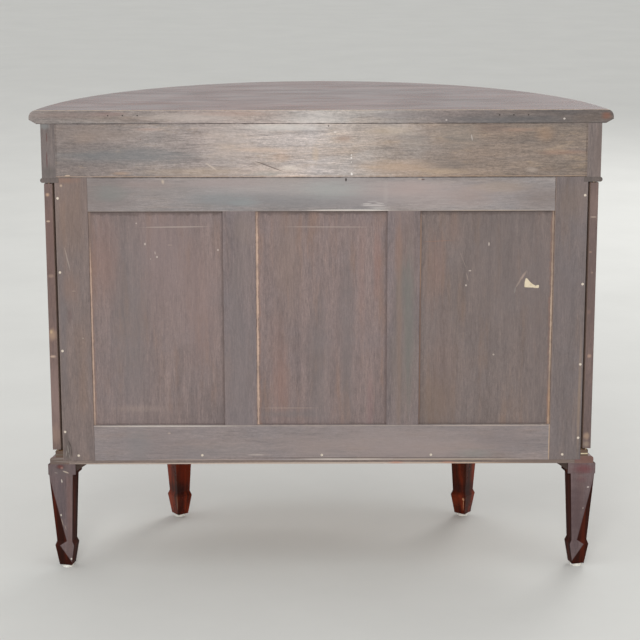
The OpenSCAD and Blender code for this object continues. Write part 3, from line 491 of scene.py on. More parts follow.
class SIDEBOARD_OT_frieze_back(bpy.types.Operator):
    """Gives the board behind the drawer its rubbed and scratched grain"""
    bl_idname = "sideboard.frieze_back"
    bl_label = "Frieze back board"

    def execute(self, context):
        wood = context.scene.sideboard_wood
        low, high = (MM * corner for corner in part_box("frieze_back"))
        cook = Recipe("frieze_back_bare")
        x = cook.axes(cook.place)[0]
        # Painted light: the board is brightest at its middle and darker towards its ends
        across = cook.between(cook.math("ADD", x, cook.wander(9, 0.16)), -0.55, 0.55)
        board = cook.seen_ramp(
            across, (0.02, 134, 120, 110), (0.14, 142, 126, 115), (0.26, 154, 140, 131),
            (0.4, 181, 169, 161), (0.52, 190, 180, 176), (0.64, 186, 175, 170), (0.78, 170, 157, 152),
            (0.9, 155, 144, 139), (0.98, 136, 124, 119))
        middle = tone(152, 141, 134)
        bare, height, rough = bare_wood(cook, cook.place, "x", middle, 5, 1.2, 0.3)
        colour = toned(cook, bare, board, middle)
        dark = cook.noise(cook.place, (9, 60, 100), 6, 0.75)
        colour = cook.lay(cook.between(dark, 0.5, 0.66), 0.36, colour, tone(120, 112, 110))
        rub = cook.noise(cook.place, (14, 40, 60), 6, 0.75, shift=(3, 1, 7))
        colour = cook.lay(cook.between(rub, 0.53, 0.7), 0.35, colour, shade(wood.worn, 1, -0.06))
        colour = mottle(cook, colour, "x", 0.28, 6)
        colour = add_spots(cook, colour, (
            (70, 886, 60, 6, (218, 212, 206), 60), (180, 856, 40, 34, (188, 176, 168), 35),
            (117, 842, 57, 4, (210, 184, 164), 45), (76, 830, 14, 8, (196, 162, 136), 30),
            (60, 808, 17, 5, (224, 214, 204), 50), (11, 834, 5.5, 14, (206, 184, 160), 40),
            (105, 797, 22, 5, (156, 154, 148), 50), (-44, 864, 14, 6, (158, 132, 120), 50),
            (-129, 879, 37, 8, (198, 182, 164), 40), (-175, 857, 29, 13, (152, 146, 142), 40),
            (-143, 809.6, 64, 11, (192, 164, 140), 50), (-229, 800.5, 42, 6, (188, 164, 138), 45),
            (-245, 814, 55, 9, (130, 120, 114), 40), (-265, 872, 37, 22, (140, 136, 130), 35),
            (-326, 885, 25, 7, (120, 102, 94), 45), (-379, 880.4, 30, 3, (182, 148, 128), 35),
            (-426, 870.8, 15, 12, (168, 136, 108), 35), (-458.5, 837.1, 36, 4.6, (168, 130, 112), 35),
            (450, 865, 18, 9, (158, 138, 124), 30), (330, 882, 22, 3, (182, 154, 142), 45),
            (370, 832, 120, 13, (116, 119, 121), 60), (430, 872, 80, 13, (156, 139, 128), 35),
            (382.4, 797.7, 16, 3, (196, 162, 136), 40), (234, 800.8, 78, 7, (188, 166, 144), 40),
            (274.7, 800, 11, 5, (128, 114, 106), 35), (209.8, 810.5, 13, 1.5, (208, 192, 176), 50, -33),
            (99.8, 811.1, 28.3, 0.9, (96, 84, 80), 75, -20.7),
            (-286.2, 865.6, 0.9, 5.8, (212, 204, 198), 55, 10),
            (-57.2, 832.5, 1.3, 1.3, (236, 230, 226), 75), (-57.2, 827, 1.6, 1.5, (236, 230, 226), 85),
            (-57.2, 818.8, 1.1, 1.1, (224, 216, 210), 70),
            (-57.8, 795.9, 1.8, 2.6, (240, 234, 228), 85, 12), (-26.2, 876.4, 2, 1.4, (230, 220, 212), 70),
            (-13.7, 888.4, 1.4, 1.8, (76, 66, 64), 75), (344.1, 863, 1.3, 1.5, (118, 84, 80), 60),
            (-402, 803.6, 10, 3.6, (198, 182, 170), 35), (484.6, 794, 4.5, 1.3, (216, 192, 168), 70),
        ))
        colour = add_lines(cook, colour, (
            ("z", low.z, 1, (58, 48, 45), 90), ("z", high.z, 0.8, (66, 58, 56), 85),
            ("z", low.z + 2.4, 1.1, (176, 146, 122), 45), ("x", low.x + 2, 1.2, (66, 50, 46), 45),
            ("x", high.x - 2, 1.2, (66, 50, 46), 30),
        ))
        dress(cook.wooden(wood, colour, rough, height, 0.5, 0.0008), "frieze_back")
        return {"FINISHED"}


class SIDEBOARD_OT_back_frame(bpy.types.Operator):
    """Weathers the stiles, rails and muntins of the back frame and the lip under them"""
    bl_idname = "sideboard.back_frame"
    bl_label = "Back frame"

    def execute(self, context):
        wood = context.scene.sideboard_wood
        stile, stile_edge = (MM * corner.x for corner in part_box("back_stile_right"))
        top_low, top_high = (MM * corner.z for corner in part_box("back_top_rail"))
        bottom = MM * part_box("back_bottom_rail")[1].z
        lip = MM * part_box("base_back_rail")[0].z
        weather("back_top_rail", "top_rail_bare", wood, "x", (148, 140, 138), (
            (40, 768, 200, 22, (170, 163, 161), 60), (-180, 757, 150, 22, (172, 158, 155), 60),
            (50, 745, 160, 12, (128, 128, 130), 50), (425, 757, 55, 36, (124, 113, 110), 65),
            (300, 765, 60, 16, (136, 130, 128), 40), (404.3, 760, 30, 14, (134, 140, 137), 40),
            (200, 748, 50, 12, (136, 139, 140), 50), (146.4, 742, 24, 8, (146, 152, 152), 45),
            (327.5, 778, 50, 9, (158, 140, 135), 45), (184.2, 779, 70, 8, (166, 150, 147), 45),
            (-16.4, 766, 55, 14, (160, 166, 164), 45), (-169.3, 769, 50, 12, (176, 157, 152), 45),
            (-284.3, 755, 40, 14, (158, 140, 133), 45), (-351, 770, 45, 10, (166, 147, 132), 45),
            (-100, 735.2, 22, 1.8, (212, 204, 200), 50), (-87, 738.4, 9, 1, (206, 198, 194), 55, 4),
            (-112, 739.2, 8, 1.1, (206, 198, 194), 50, -5), (-98, 742.8, 10, 0.8, (192, 184, 182), 45, 3),
            (-123, 760, 4, 18, (176, 166, 162), 35), (-420, 750, 50, 20, (126, 114, 110), 50),
            (-55, top_low + 1.6, 78, 1.6, (222, 214, 206), 80),
            (-108.5, top_low + 6, 16, 2.2, (196, 190, 186), 50), (-46.9, 785, 1.8, 3.2, (60, 50, 48), 90),
            (-194, 785, 3, 1.4, (92, 66, 58), 70), (-188, 786.2, 4, 1, (206, 186, 166), 60),
            (303, 781.5, 2.6, 4, (208, 190, 170), 70, 12),
        ), seed=1, contrast=0.9, red=0.25, lines=(
            ("x", stile, 0.7, (90, 78, 74), 35), ("x", -stile, 0.8, (64, 52, 50), 85),
            ("z", top_low + 0.6, 0.8, (168, 152, 142), 40), ("z", top_high - 0.4, 0.7, (62, 54, 52), 70),
        ), streak_size=RAIL_STREAKS, over=((-330, top_low + 1, 90, 1.1, (184, 166, 150), 55),))
        weather("back_bottom_rail", "bottom_rail_bare", wood, "x", (142, 131, 129), (
            (-150, 262, 180, 30, (156, 142, 138), 55), (320, 262, 90, 30, (134, 124, 124), 40),
            (360, 262, 20, 30, (131, 128, 128), 40), (20, 252, 60, 18, (152, 138, 134), 45),
            (-200, 246, 100, 14, (156, 141, 137), 45), (-360, 268, 50, 20, (136, 124, 122), 45),
            (200, 246, 70, 14, (134, 128, 128), 40), (-300, 238, 30, 8, (134, 136, 132), 40),
            (-50, 226.2, 90, 2.2, (214, 202, 192), 70), (-260, 226.2, 140, 1.2, (192, 172, 152), 65),
            (-100, 229.6, 300, 1, (92, 78, 72), 60), (250, 226.2, 100, 1.4, (170, 150, 138), 50),
            (130, 236, 16, 1.2, (190, 178, 170), 60), (300, 281, 3, 1.6, (176, 160, 150), 70),
            # Light bands along the rail's top edge: a painted highlight of the edge that faces up
            (310, bottom - 1.5, 140, 1.4, (218, 210, 202), 75),
            (-320, bottom - 1.5, 100, 1.2, (196, 180, 168), 50),
        ), seed=2, contrast=0.9, red=0.3, lines=(
            ("x", stile, 0.7, (70, 58, 56), 80), ("x", -stile + 0.7, 0.9, (198, 170, 144), 85),
            # Light line along the rail's top edge: painted highlight
            ("z", bottom - 1.2, 1.1, (178, 164, 154), 60),
        ), streak_size=RAIL_STREAKS)
        weather("back_stile_right", "stile_photo_left_bare", wood, "z", (125, 111, 107), (
            (480, 720, 28, 70, (142, 118, 104), 35), (490, 785, 22, 6, (150, 116, 98), 40),
            (502, 500, 6, 140, (114, 108, 110), 40), (486, 575, 16, 24, (140, 112, 98), 35),
            (488, 520, 4, 14, (104, 82, 80), 35), (490, 632, 1.2, 22, (178, 164, 154), 45, 12),
            (497.5, 774.5, 2, 2, (196, 172, 152), 85), (479.5, 568, 4, 0.9, (164, 146, 136), 60),
            (464, 474, 1, 1.1, (186, 176, 168), 70), (501, 244, 8, 19, (88, 80, 76), 65),
            (504, 272, 4, 13, (92, 82, 78), 55), (493, 242, 1.1, 10, (56, 46, 44), 55, 3),
            (496.2, 259, 1.1, 7.5, (56, 46, 44), 55, 22), (500, 249, 0.8, 8, (168, 160, 150), 50, 7),
            (503.5, 240, 0.8, 6, (164, 156, 146), 50, -9), (497.5, 234, 0.8, 5, (156, 148, 140), 45, 14),
        ), seed=3, contrast=0.9, red=0.3, lines=[("x", stile_edge - 0.6, 0.9, (150, 134, 126), 40)])
        weather("back_stile_left", "stile_photo_right_bare", wood, "z", (120, 109, 107), (
            (-480, 740, 28, 35, (130, 112, 100), 35), (-470, 560, 20, 70, (118, 108, 108), 40),
            (-504.5, 350, 2.8, 100, (160, 136, 116), 50),
        ), seed=4, contrast=0.9, red=0.3, lines=[("x", -stile - 0.6, 0.8, (160, 132, 112), 35)])
        weather("back_muntins", "muntins_bare", wood, "z", (127, 114, 113), (
            (-162, 620, 20, 130, (140, 118, 108), 35), (-160, 420, 24, 120, (120, 111, 104), 45),
            (-160, 575, 13, 45, (110, 114, 110), 40), (-148, 650, 6, 50, (150, 116, 100), 30),
            (-151, 480, 5, 170, (142, 118, 104), 35), (-170, 500, 9, 120, (113, 118, 113), 40),
            (152, 690, 20, 30, (144, 128, 120), 40), (150, 610, 16, 40, (138, 124, 120), 35),
            (168, 560, 10, 60, (120, 110, 108), 35), (160, 400, 30, 150, (124, 116, 116), 50),
        ), seed=6, contrast=1.1, red=0.25)
        weather("base_back_rail", "base_lip_bare", wood, "x", (126, 112, 105), (
            (-50, lip + 1.2, 300, 1.8, (208, 188, 172), 75), (300, lip + 1, 180, 1.6, (200, 181, 167), 70),
            (-300, lip + 1, 140, 1.6, (190, 164, 144), 65),
            (-146.5, lip + 2.2, 12, 2.4, (196, 132, 112), 50),
            (-250, lip + 2, 12, 2.2, (184, 128, 110), 45), (-420, 221, 70, 6, (116, 100, 92), 60),
        ), seed=7, contrast=1.3, red=0.3, lines=[("z", lip + 7.2, 0.6, (96, 82, 76), 50)])
        return {"FINISHED"}


class SIDEBOARD_OT_back_panels(bpy.types.Operator):
    """Weathers the three panels, with bare lines where they have shrunk from the frame"""
    bl_idname = "sideboard.back_panels"
    bl_label = "Back panels"

    def execute(self, context):
        wood = context.scene.sideboard_wood
        bare_line, stain = (216, 186, 166), (150, 118, 104)
        grey, rust, dirt = (118, 112, 112), (152, 112, 96), (92, 80, 77)
        faint, fleck = (168, 150, 140), (204, 190, 180)
        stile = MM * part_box("back_stile_right")[0].x
        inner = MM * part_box("back_muntins")[1].x
        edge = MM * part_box("back_panel_centre")[1].x - 6
        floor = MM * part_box("back_bottom_rail")[1].z
        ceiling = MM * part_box("back_top_rail")[0].z

        # Dark bands along the frame's edges, widest under the top rail: dirt, and painted shade where the
        # panel is recessed behind the frame
        def rims(x_low, x_high):
            return [("x", x_low, 4, dirt, 28), ("x", x_high, 4, dirt, 28),
                    ("z", ceiling, 8, dirt, 55), ("z", floor, 3, dirt, 35)]

        weather("back_panel_right", "panel_photo_left_bare", wood, "z", (131, 116, 113), (
            (300, 630, 50, 120, (142, 124, 122), 45), (235, 540, 30, 120, (146, 124, 120), 40),
            (370, 520, 30, 160, grey, 45), (420, 630, 25, 70, (142, 112, 102), 40),
            (282, 692.7, 60, 1.1, (176, 162, 154), 70, 0.5), (340, 659.5, 1.5, 2.4, fleck, 80),
            (291.9, 657.4, 5, 0.8, faint, 70), (317.4, 633.9, 1.6, 2, fleck, 80),
            (199.6, 647.4, 1.8, 1.8, fleck, 70), (321, 642, 1, 3, fleck, 50, 8),
            (330, 630, 0.9, 1.2, fleck, 50), (356, 700, 1.4, 1.4, fleck, 60), (360, 330, 40, 6, faint, 25),
        ), seed=11, red=0.5, lines=rims(inner, stile) + [
            ("x", stile - 2.4, 3.6, stain, 40), ("x", stile - 1.8, 1.6, bare_line, 80),
        ], over=((stile - 2, 688, 4, 46, (130, 114, 109), 80),))
        weather("back_panel_centre", "panel_centre_bare", wood, "z", (133, 117, 114), (
            (78, 375, 14, 55, rust, 25), (85, 430, 14, 90, rust, 16),
            (65, 640, 22, 100, (140, 120, 110), 35), (-108, 625, 7, 60, (154, 112, 100), 28),
            (-78, 600, 6, 100, (146, 112, 102), 20), (5, 400, 20, 120, grey, 40),
            (-50, 450, 12, 200, grey, 35), (-95, 330, 6, 60, (140, 108, 108), 30),
            (-12, 692.2, 78, 1, (172, 158, 150), 60, -0.3), (63, 330.5, 54, 0.9, faint, 50),
            (65, 318, 50, 6, grey, 40),
        ), seed=12, red=0.55, lines=rims(-edge, edge) + [
            ("x", edge - 3, 4.8, stain, 50), ("x", edge - 2.2, 2.2, bare_line, 95),
        ])
        weather("back_panel_left", "panel_photo_right_bare", wood, "z", (123, 110, 106), (
            (-227, 617, 12, 55, (150, 118, 106), 28), (-212, 597, 12, 70, (146, 114, 100), 20),
            (-235, 400, 20, 120, (132, 108, 100), 25), (-255, 690, 12, 30, (142, 112, 98), 22),
            (-350, 600, 70, 120, (120, 109, 107), 40), (-222, 335, 34, 50, (126, 107, 94), 40),
            (-420, 500, 20, 200, (118, 108, 107), 40), (-273, 627, 0.7, 20, faint, 30, 22),
            (-287, 605.4, 2.6, 1.1, fleck, 80), (-282, 593, 1, 8, faint, 50, 14),
            (-279.7, 576.5, 1.6, 1.8, fleck, 90), (-322.8, 658, 1.2, 3.6, fleck, 80),
            (-389.3, 594, 2, 9.5, (178, 156, 144), 70, -33),
            (-380.3, 579, 1.6, 8, (164, 148, 138), 50, -32),
            (-374.7, 566.7, 1.4, 6.5, (152, 144, 140), 45, -10), (-335.5, 438, 1.8, 1.8, fleck, 60),
            (-225, 664, 30, 0.8, (158, 118, 98), 35, 3),
        ), seed=13, red=0.45, lines=rims(-stile, -inner) + [
            ("x", -stile + 2.8, 4.2, stain, 45), ("x", -stile + 2.2, 1.7, (206, 182, 160), 85),
        ], over=(
            (-inner - 1.4, 640, 1.4, 82, (178, 146, 124), 70),
            (-inner - 1.2, 440, 1.6, 150, (150, 116, 96), 60),
            (-stile + 2.2, 660, 4, 70, (134, 112, 102), 55),
            (-stile + 2.6, 335, 2.4, 42, (182, 142, 112), 60),
        ))
        return {"FINISHED"}


class SIDEBOARD_OT_bow(bpy.types.Operator):
    """Polishes what is seen from the front and sides and weathers its ends at the back"""
    bl_idname = "sideboard.bow"
    bl_label = "Bowed front and sides"

    def execute(self, context):
        wood = context.scene.sideboard_wood
        self.polish("door_polish", wood, "z", (115, 96, 91), 21, (
            (524, 757, 3, 3, (202, 168, 142), 80), (524, 705.4, 3.6, 1.8, (220, 196, 172), 85),
            (522, 598, 5, 3, (172, 148, 132), 70), (523.5, 481, 7, 9.5, (182, 152, 128), 60),
            (525.5, 487, 2, 3, (206, 178, 140), 60), (524.5, 437.5, 5.2, 2.2, (208, 182, 162), 75),
            (522, 350, 12, 60, (150, 126, 120), 55), (522, 275, 12, 20, (158, 132, 118), 50),
            (521, 660, 12, 70, (118, 92, 86), 50), (-522, 735, 12, 30, (144, 122, 114), 40),
            (-522, 711.5, 6, 1, (190, 170, 156), 75), (-518.2, 642.9, 2.4, 1.7, (180, 148, 130), 70),
            (-522.5, 602.3, 2.1, 2, (188, 158, 142), 70), (-518.8, 524.1, 3.6, 3.6, (154, 122, 110), 60),
            (-522, 435.9, 3, 3.2, (192, 158, 138), 70), (-522, 560, 12, 90, (110, 92, 88), 50),
            (-520.5, 273.2, 5.5, 6, (176, 148, 126), 65), (-520.7, 256.7, 6, 5, (160, 140, 124), 65),
        ), "door_side_left", "door_side_right", "door_centre_left", "door_centre_right")
        self.polish("frieze_polish", wood, "x", (124, 112, 108), 22, (
            (533, 850, 12, 50, (112, 102, 100), 40), (-531, 840, 12, 50, (120, 104, 98), 40),
            (525.5, 889, 8, 5, (136, 140, 140), 50), (521.8, 866.9, 0.7, 9, (92, 44, 42), 75),
            (522.9, 823.5, 0.8, 16, (92, 40, 40), 80), (520, 800, 12, 11, (94, 88, 85), 60),
        ), "frieze_side_left", "frieze_side_right", "frieze_top_rail", "drawer_front")
        self.polish("waist_polish", wood, "x", (104, 94, 90), 23, (), "waist_rail")
        self.polish("base_polish", wood, "x", (122, 98, 90), 24, (
            (520, 225, 30, 10, (106, 94, 88), 75), (515, 229, 20, 1, (158, 148, 138), 50, 2),
            (505, 222.5, 22, 1, (158, 148, 138), 45, -3), (-520, 225.5, 30, 8, (116, 82, 74), 75),
            (-505, 227, 6, 5, (122, 84, 92), 50),
        ), "base_band")
        self.polish("post_polish", wood, "z", (120, 100, 92), 25, (),
                    "front_post_left", "front_post_right", "frieze_blocks")
        return {"FINISHED"}

    def polish(self, name, wood, along, back_tone, seed, spots, *nodes):
        cook = Recipe(name)
        at = cook.arc()
        shine, pores = polished_wood(cook, at, along, wood, seed)
        bare, height, rough = bare_wood(cook, cook.place, "z", tone(*back_tone), seed, 1.1, 0.3)
        bare = add_spots(cook, mottle(cook, bare, "z", 0.14, seed), spots, "z")
        back = facing_back(cook)
        inside = facing_in(cook)
        plain, _, _ = bare_wood(cook, at, along, shade(wood.inside, 0.8), seed + 0.5, 1, 0.3)
        # A pale dusty tone near the hinges, also painted light that lifts the shade in the gap between door
        # and frame
        dust_and_painted_light = cook.between(cook.axes(cook.place)[1], BACK - DUST_AND_LIGHT_START, BACK - DUST_AND_LIGHT_END, 0, 0.8)
        plain = cook.blend(dust_and_painted_light, plain, tone(146, 126, 116))
        scuff = cook.between(cook.noise(at, 40, 5, 0.7), 0.68, 0.74)
        shine = cook.lay(scuff, 0.25, shine, wood.polish_light)
        shine = cook.blend(inside, shine, plain)
        matt = cook.math("MAXIMUM", back, inside)
        gloss = cook.between(cook.noise(cook.place, 12, 4, 0.6), 0.3, 0.75, 0.2, 0.36)
        relief = cook.level(matt, cook.times(pores, -0.25), height)
        colour = cook.blend(back, shine, bare)
        dress(cook.wooden(wood, colour, cook.level(matt, gloss, rough), relief), *nodes)


class SIDEBOARD_OT_legs(bpy.types.Operator):
    """Finishes the legs: polished, worn at the edges, and raw where the back plane cuts them"""
    bl_idname = "sideboard.legs"
    bl_label = "Legs"

    def execute(self, context):
        wood = context.scene.sideboard_wood
        cook = Recipe("leg_polish")
        shine, pores = polished_wood(cook, cook.place, "z", wood, 31)
        streak = cook.noise(cook.place, (70, 70, 4), 3, 0.6, shift=(2, 5, 1))
        ember = cook.seen_ramp(streak, (0.38, 38, 9, 3), (0.52, 86, 22, 6), (0.64, 146, 50, 16))
        shine = cook.blend(0.65, shine, ember)
        # Painted shade: the faces of the rear legs turned away from the front are darkened and made matt
        painted_shade = cook.times(cook.between(cook.axes(cook.normal)[1], -0.5, 0.1),
                          cook.between(cook.axes(cook.place)[1], *PAINTED_SHADE_FROM))
        shine = cook.lay(painted_shade, 0.75, shine, tone(36, 14, 9))
        shine = add_spots(cook, shine, (
            (293, 108, 9, 33, (138, 44, 12), 50), (310, 64, 30, 12, (36, 17, 15), 60),
            (-310, 64, 30, 12, (36, 17, 15), 55), (-288, 38, 8, 12, (140, 54, 22), 50),
            (308.2, 35, 1.2, 17, (150, 108, 84), 60), (-304, 30, 0.7, 15, (206, 150, 112), 75),
            (-303.4, 41, 1.9, 3.4, (214, 158, 122), 80, 10),
        ), "z")
        bare, height, rough = bare_wood(cook, cook.place, "z", tone(114, 98, 98), 32, 1, 0.25)
        bare = add_spots(cook, mottle(cook, bare, "z", 0.14, 3), (
            (501, 120, 5, 70, (126, 98, 92), 50), (517, 150, 10, 55, (96, 88, 92), 40),
            (516, 205, 22, 12, (108, 98, 98), 60), (516.5, 212.5, 7.5, 5.2, (58, 44, 42), 50),
            (516.5, 212.8, 5.5, 3.4, (118, 58, 54), 60), (513.5, 210, 2.2, 2.2, (176, 140, 130), 50),
            (506, 201.5, 6, 1.3, (204, 188, 170), 70, -22), (525, 200, 3, 1, (170, 156, 148), 50, -10),
            (514.5, 183, 1.2, 3.6, (214, 204, 192), 75, 8), (518, 112, 1.7, 2.4, (214, 204, 190), 70),
            (516, 97, 0.8, 8, (190, 172, 158), 50, 12), (510, 86, 0.8, 5, (186, 166, 150), 40, 16),
            (500.2, 20, 2, 2, (240, 230, 220), 90), (-517, 206, 17, 8, (116, 62, 66), 65),
            (-514, 184, 9, 6, (124, 84, 88), 35), (-527.2, 167.8, 2.2, 1.2, (224, 214, 206), 80, 6),
            (-518.6, 124, 1.5, 1.7, (220, 208, 196), 80), (-506, 115, 16, 70, (88, 72, 73), 75),
        ))
        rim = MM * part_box("leg_rear_left")[1].z
        bare = add_lines(cook, bare, (("z", rim - 1.2, 1, (176, 160, 144), 50),
                                      ("z", rim - 6, 0.7, (60, 50, 48), 55)))
        back = facing_back(cook)
        colour = cook.blend(back, shine, bare)
        nick = cook.noise(cook.place, (120, 120, 60), 4, 0.7)
        colour = cook.lay(cook.between(nick, 0.7, 0.74), 0.5, colour, tone(150, 92, 62))
        gloss = cook.between(cook.noise(cook.place, 20, 4, 0.6), 0.3, 0.75, 0.2, 0.4)
        relief = cook.level(back, cook.times(pores, -0.25), height)
        matt = cook.math("MAXIMUM", back, painted_shade)
        dress(cook.wooden(wood, colour, cook.level(matt, gloss, rough), relief, sheen=0.12),
              "leg_front_left", "leg_front_right", "leg_rear_left", "leg_rear_right")
        # The corner blocks get a very dark tone: painted shade, as they sit under the case
        weather("corner_blocks", "corner_block_bare", wood, "x", (64, 50, 43), seed=33)
        return {"FINISHED"}


class SIDEBOARD_OT_inside(bpy.types.Operator):
    """Gives the shelves, posts, partitions and drawer box their plain inside wood"""
    bl_idname = "sideboard.inside"
    bl_label = "Inside and drawer box"

    def execute(self, context):
        wood = context.scene.sideboard_wood
        groups = (
            ("upright", "z", 1, ("partition_left", "partition_right", "rear_post_left",
                                   "rear_post_right")),
            ("level", "x", 1, ("shelf_centre", "side_shelves", "dust_panel", "drawer_back",
                                 "drawer_bottom")),
            ("deep", "y", 0.95, ("drawer_side_left", "drawer_side_right", "drawer_runners",
                                 "drawer_kickers")),
            ("floor", "x", 0.8, ("carcase_bottom",)),
        )
        for number, (name, along, light, nodes) in enumerate(groups):
            cook = Recipe(f"inside_{name}")
            middle = shade(wood.inside, light)
            colour, height, rough = bare_wood(cook, cook.place, along, middle, 40 + number, 1.2, 0.3)
            if name == "floor":
                shine, _ = polished_wood(cook, cook.arc(), along, wood, 47)
                colour = cook.blend(cook.between(inwards(cook), -0.5, -0.8), colour, shine)
            back = facing_back(cook)
            dust_and_painted_light = cook.blend(0.75, colour, tone(84, 70, 65))
            dress(cook.wooden(wood, cook.blend(back, colour, dust_and_painted_light), rough, height, 0.25), *nodes)
        return {"FINISHED"}


class SIDEBOARD_OT_metal(bpy.types.Operator):
    """Finishes the brass, the nail heads and the glides"""
    bl_idname = "sideboard.metal"
    bl_label = "Brass, nails and glides"

    def execute(self, context):
        trim = context.scene.sideboard_trim
        cook = Recipe("aged_brass")
        age = cook.noise(cook.place, 60, 5, 0.65)
        fine = cook.noise(cook.place, 700, 3, 0.6)
        colour = cook.tones(age, trim.brass, (0.35, 0.55, 0.05), (0.5, 0.85), (0.66, 1))
        rough = cook.mix((cook.between(age, 0.35, 0.7, 0.42, 0.2), 1), (fine, 0.08))
        dress(cook.done(colour, rough, cook.bump(fine, 0.12, 0.0002, cook.soften(0.0004)), Metallic=1),
              "ball_catches", "leaves_side_left", "leaves_side_right", "leaves_centre_left",
              "leaves_centre_right", "knob_side_left", "knob_side_right", "knob_centre_left",
              "knob_centre_right", "pull_plates", "pull_posts", "bail_left", "bail_right", "shelf_pins")
        cook = Recipe("plate_brass")
        scratch = cook.noise(cook.place, (90, 700, 700), 4, 0.65)
        colour = cook.tones(scratch, trim.plate, (0.34, 0.7, 0.06), (0.5, 1), (0.7, 1.05))
        colour = add_spots(cook, colour, ((515, 234, 30, 14, (88, 78, 72), 90),))
        dress(cook.done(colour, cook.between(scratch, 0.3, 0.7, 0.5, 0.3), cook.bump(scratch, 0.15, 0.0002),
                        Metallic=0.5), "hinge_plates")
        cook = Recipe("nail_heads")
        spots = cook.noise(cook.place, 900, 3, 0.6)
        colour = cook.tones(spots, trim.steel, (0.35, 0.6, 0.1), (0.55, 1), (0.75, 1.05))
        dress(cook.done(colour, cook.between(spots, 0.3, 0.7, 0.5, 0.3), cook.bump(spots, 0.2, 0.0002),
                        Metallic=0.35), "back_nails")
        cook = Recipe("glide_nylon")
        scuffs = cook.noise(cook.place, 260, 4, 0.65)
        colour = cook.tones(scuffs, trim.glide, (0.3, 0.7, 0.03), (0.5, 1), (0.75, 1.04))
        dress(cook.done(colour, cook.between(scuffs, 0.3, 0.7, 0.4, 0.6), cook.bump(scuffs, 0.15, 0.0003),
                        Subsurface_Weight=0.05), "glides")
        return {"FINISHED"}


class SIDEBOARD_OT_paper(bpy.types.Operator):
    """Glues a torn scrap of blank paper to the panel at the left of the piece"""
    bl_idname = "sideboard.paper"
    bl_label = "Torn paper scrap"

    def execute(self, context):
        trim = context.scene.sideboard_trim
        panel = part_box("back_panel_left")[1].y
        outline = ((0.08, 0.98), (0.16, 1), (0.26, 0.84), (0.41, 0.59), (0.61, 0.36), (0.77, 0.24),
                   (0.88, 0.31), (0.98, 0.32), (1, 0.15), (0.96, 0.01), (0.8, 0), (0.56, 0.06),
                   (0.23, 0.07), (0.05, 0.09), (0, 0.17), (0.02, 0.63))
        edge, low = PAPER_CORNER
        width, tall = trim.paper_width, trim.paper_width * PAPER_SHAPE
        rest = panel + PAPER_GAP
        scrap = bmesh.new()
        scrap.faces.new([scrap.verts.new((edge - x * width, rest, low + z * tall)) for x, z in outline])
        bmesh.ops.triangulate(scrap, faces=scrap.faces[:])
        bmesh.ops.subdivide_edges(
            scrap, edges=scrap.edges[:], cuts=2, use_grid_fill=True, fractal=0.06, seed=4)
        for vert in scrap.verts:
            lift = max(0, (edge - vert.co.x) / width - 0.55)
            vert.co.y = rest + 0.0028 * lift * lift + 0.0002 * math.sin(vert.co.z * 900)
        bmesh.ops.recalc_face_normals(scrap, faces=scrap.faces[:])
        everything = scrap.verts[:] + scrap.edges[:] + scrap.faces[:]
        bmesh.ops.solidify(scrap, geom=everything, thickness=PAPER_THICK)
        bmesh.ops.recalc_face_normals(scrap, faces=scrap.faces[:])
        mesh = bpy.data.meshes.new("paper_scrap")
        scrap.to_mesh(mesh)
        scrap.free()
        piece = bpy.data.objects.new("paper_scrap", mesh)
        context.scene.collection.objects.link(piece)
        cook = Recipe("old_paper")
        age = cook.noise(cook.place, 120, 4, 0.6)
        fibre = cook.noise(cook.place, 1400, 3, 0.6)
        colour = cook.tones(age, trim.paper, (0.3, 0.72, 0.06), (0.5, 0.92), (0.7, 1))
        piece.data.materials.append(cook.done(colour, 0.85, cook.bump(fibre, 0.25, 0.0002)))
        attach(piece, "case")
        return {"FINISHED"}


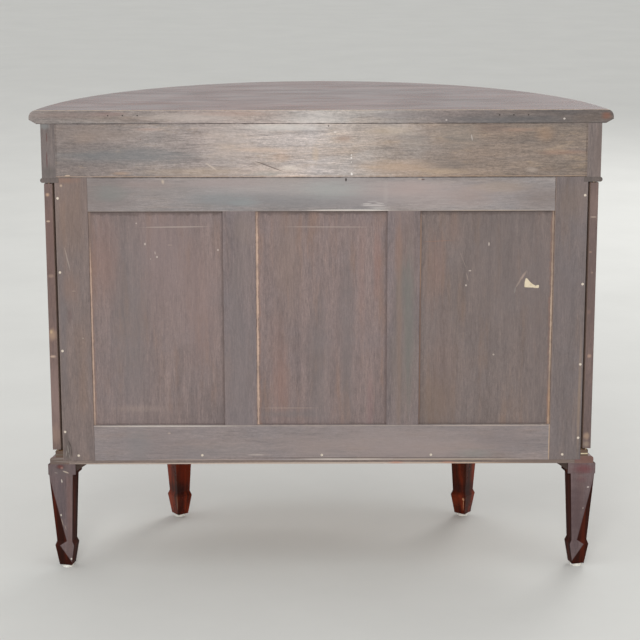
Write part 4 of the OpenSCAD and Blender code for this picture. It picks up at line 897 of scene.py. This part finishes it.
class SIDEBOARD_OT_stage(bpy.types.Operator):
    """Makes the pale floor, the soft light and the camera behind the sideboard"""
    bl_idname = "sideboard.stage"
    bl_label = "Floor, light and camera"

    def execute(self, context):
        stage = context.scene.sideboard_stage
        ground = bmesh.new()
        bmesh.ops.create_circle(ground, cap_ends=True, segments=96, radius=FLOOR_RADIUS)
        mesh = bpy.data.meshes.new("floor")
        ground.to_mesh(mesh)
        ground.free()
        floor = bpy.data.objects.new("floor", mesh)
        context.scene.collection.objects.link(floor)
        cook = Recipe("pale_floor")
        cloud = cook.noise(cook.place, 3, 5, 0.6)
        colour = cook.tones(cloud, stage.floor, (0.3, 0.97), (0.7, 1.02))
        floor.data.materials.append(cook.done(colour, 0.85, Specular_IOR_Level=0.2))

        world = bpy.data.worlds.new("soft_room")
        world.use_nodes = True
        sky = world.node_tree.nodes["Background"]
        sky.inputs["Color"].default_value = (1, 1, 1, 1)
        sky.inputs["Strength"].default_value = stage.sky
        context.scene.world = world
        for name, place, size in LAMPS:
            light = bpy.data.lights.new(name, "AREA")
            light.shape = "DISK"
            light.size = size
            light.energy = stage.lamp
            lamp = bpy.data.objects.new(name, light)
            lamp.location = place
            lamp.rotation_euler = (LAMP_TARGET - Vector(place)).to_track_quat("-Z", "Y").to_euler()
            context.scene.collection.objects.link(lamp)

        camera = bpy.data.objects.new("camera", bpy.data.cameras.new("camera"))
        camera.data.sensor_width = SENSOR
        camera.data.lens = stage.lens
        camera.location = CAMERA_PLACE
        camera.rotation_euler = [math.radians(angle) for angle in CAMERA_TURN]
        context.scene.collection.objects.link(camera)
        context.scene.camera = camera
        context.scene.view_settings.view_transform = "Standard"
        return {"FINISHED"}


class SIDEBOARD_PT_panel(bpy.types.Panel):
    bl_label = "Sideboard"
    bl_idname = "SIDEBOARD_PT_panel"
    bl_space_type = "VIEW_3D"
    bl_region_type = "UI"
    bl_category = "Sideboard"

    def draw(self, context):
        layout = self.layout
        for group in ("sideboard_wood", "sideboard_trim", "sideboard_stage"):
            settings = getattr(context.scene, group)
            box = layout.box()
            for key in settings.__annotations__:
                box.prop(settings, key)
        for operator in OPERATORS:
            layout.operator(operator.bl_idname)


GROUPS = (SideboardWood, SideboardTrim, SideboardStage)
OPERATORS = (
    SIDEBOARD_OT_top, SIDEBOARD_OT_frieze_back, SIDEBOARD_OT_back_frame, SIDEBOARD_OT_back_panels,
    SIDEBOARD_OT_bow, SIDEBOARD_OT_legs, SIDEBOARD_OT_inside, SIDEBOARD_OT_metal, SIDEBOARD_OT_paper,
    SIDEBOARD_OT_stage,
)


def register():
    for kind in (*GROUPS, *OPERATORS, SIDEBOARD_PT_panel):
        bpy.utils.register_class(kind)
    bpy.types.Scene.sideboard_wood = bpy.props.PointerProperty(type=SideboardWood)
    bpy.types.Scene.sideboard_trim = bpy.props.PointerProperty(type=SideboardTrim)
    bpy.types.Scene.sideboard_stage = bpy.props.PointerProperty(type=SideboardStage)


def unregister():
    del bpy.types.Scene.sideboard_stage
    del bpy.types.Scene.sideboard_trim
    del bpy.types.Scene.sideboard_wood
    for kind in reversed((*GROUPS, *OPERATORS, SIDEBOARD_PT_panel)):
        bpy.utils.unregister_class(kind)


def main():
    register()
    bpy.ops.sideboard.top()
    bpy.ops.sideboard.frieze_back()
    bpy.ops.sideboard.back_frame()
    bpy.ops.sideboard.back_panels()
    bpy.ops.sideboard.bow()
    bpy.ops.sideboard.legs()
    bpy.ops.sideboard.inside()
    bpy.ops.sideboard.metal()
    bpy.ops.sideboard.paper()
    bpy.ops.sideboard.stage()


if __name__ == "__main__":
    main()
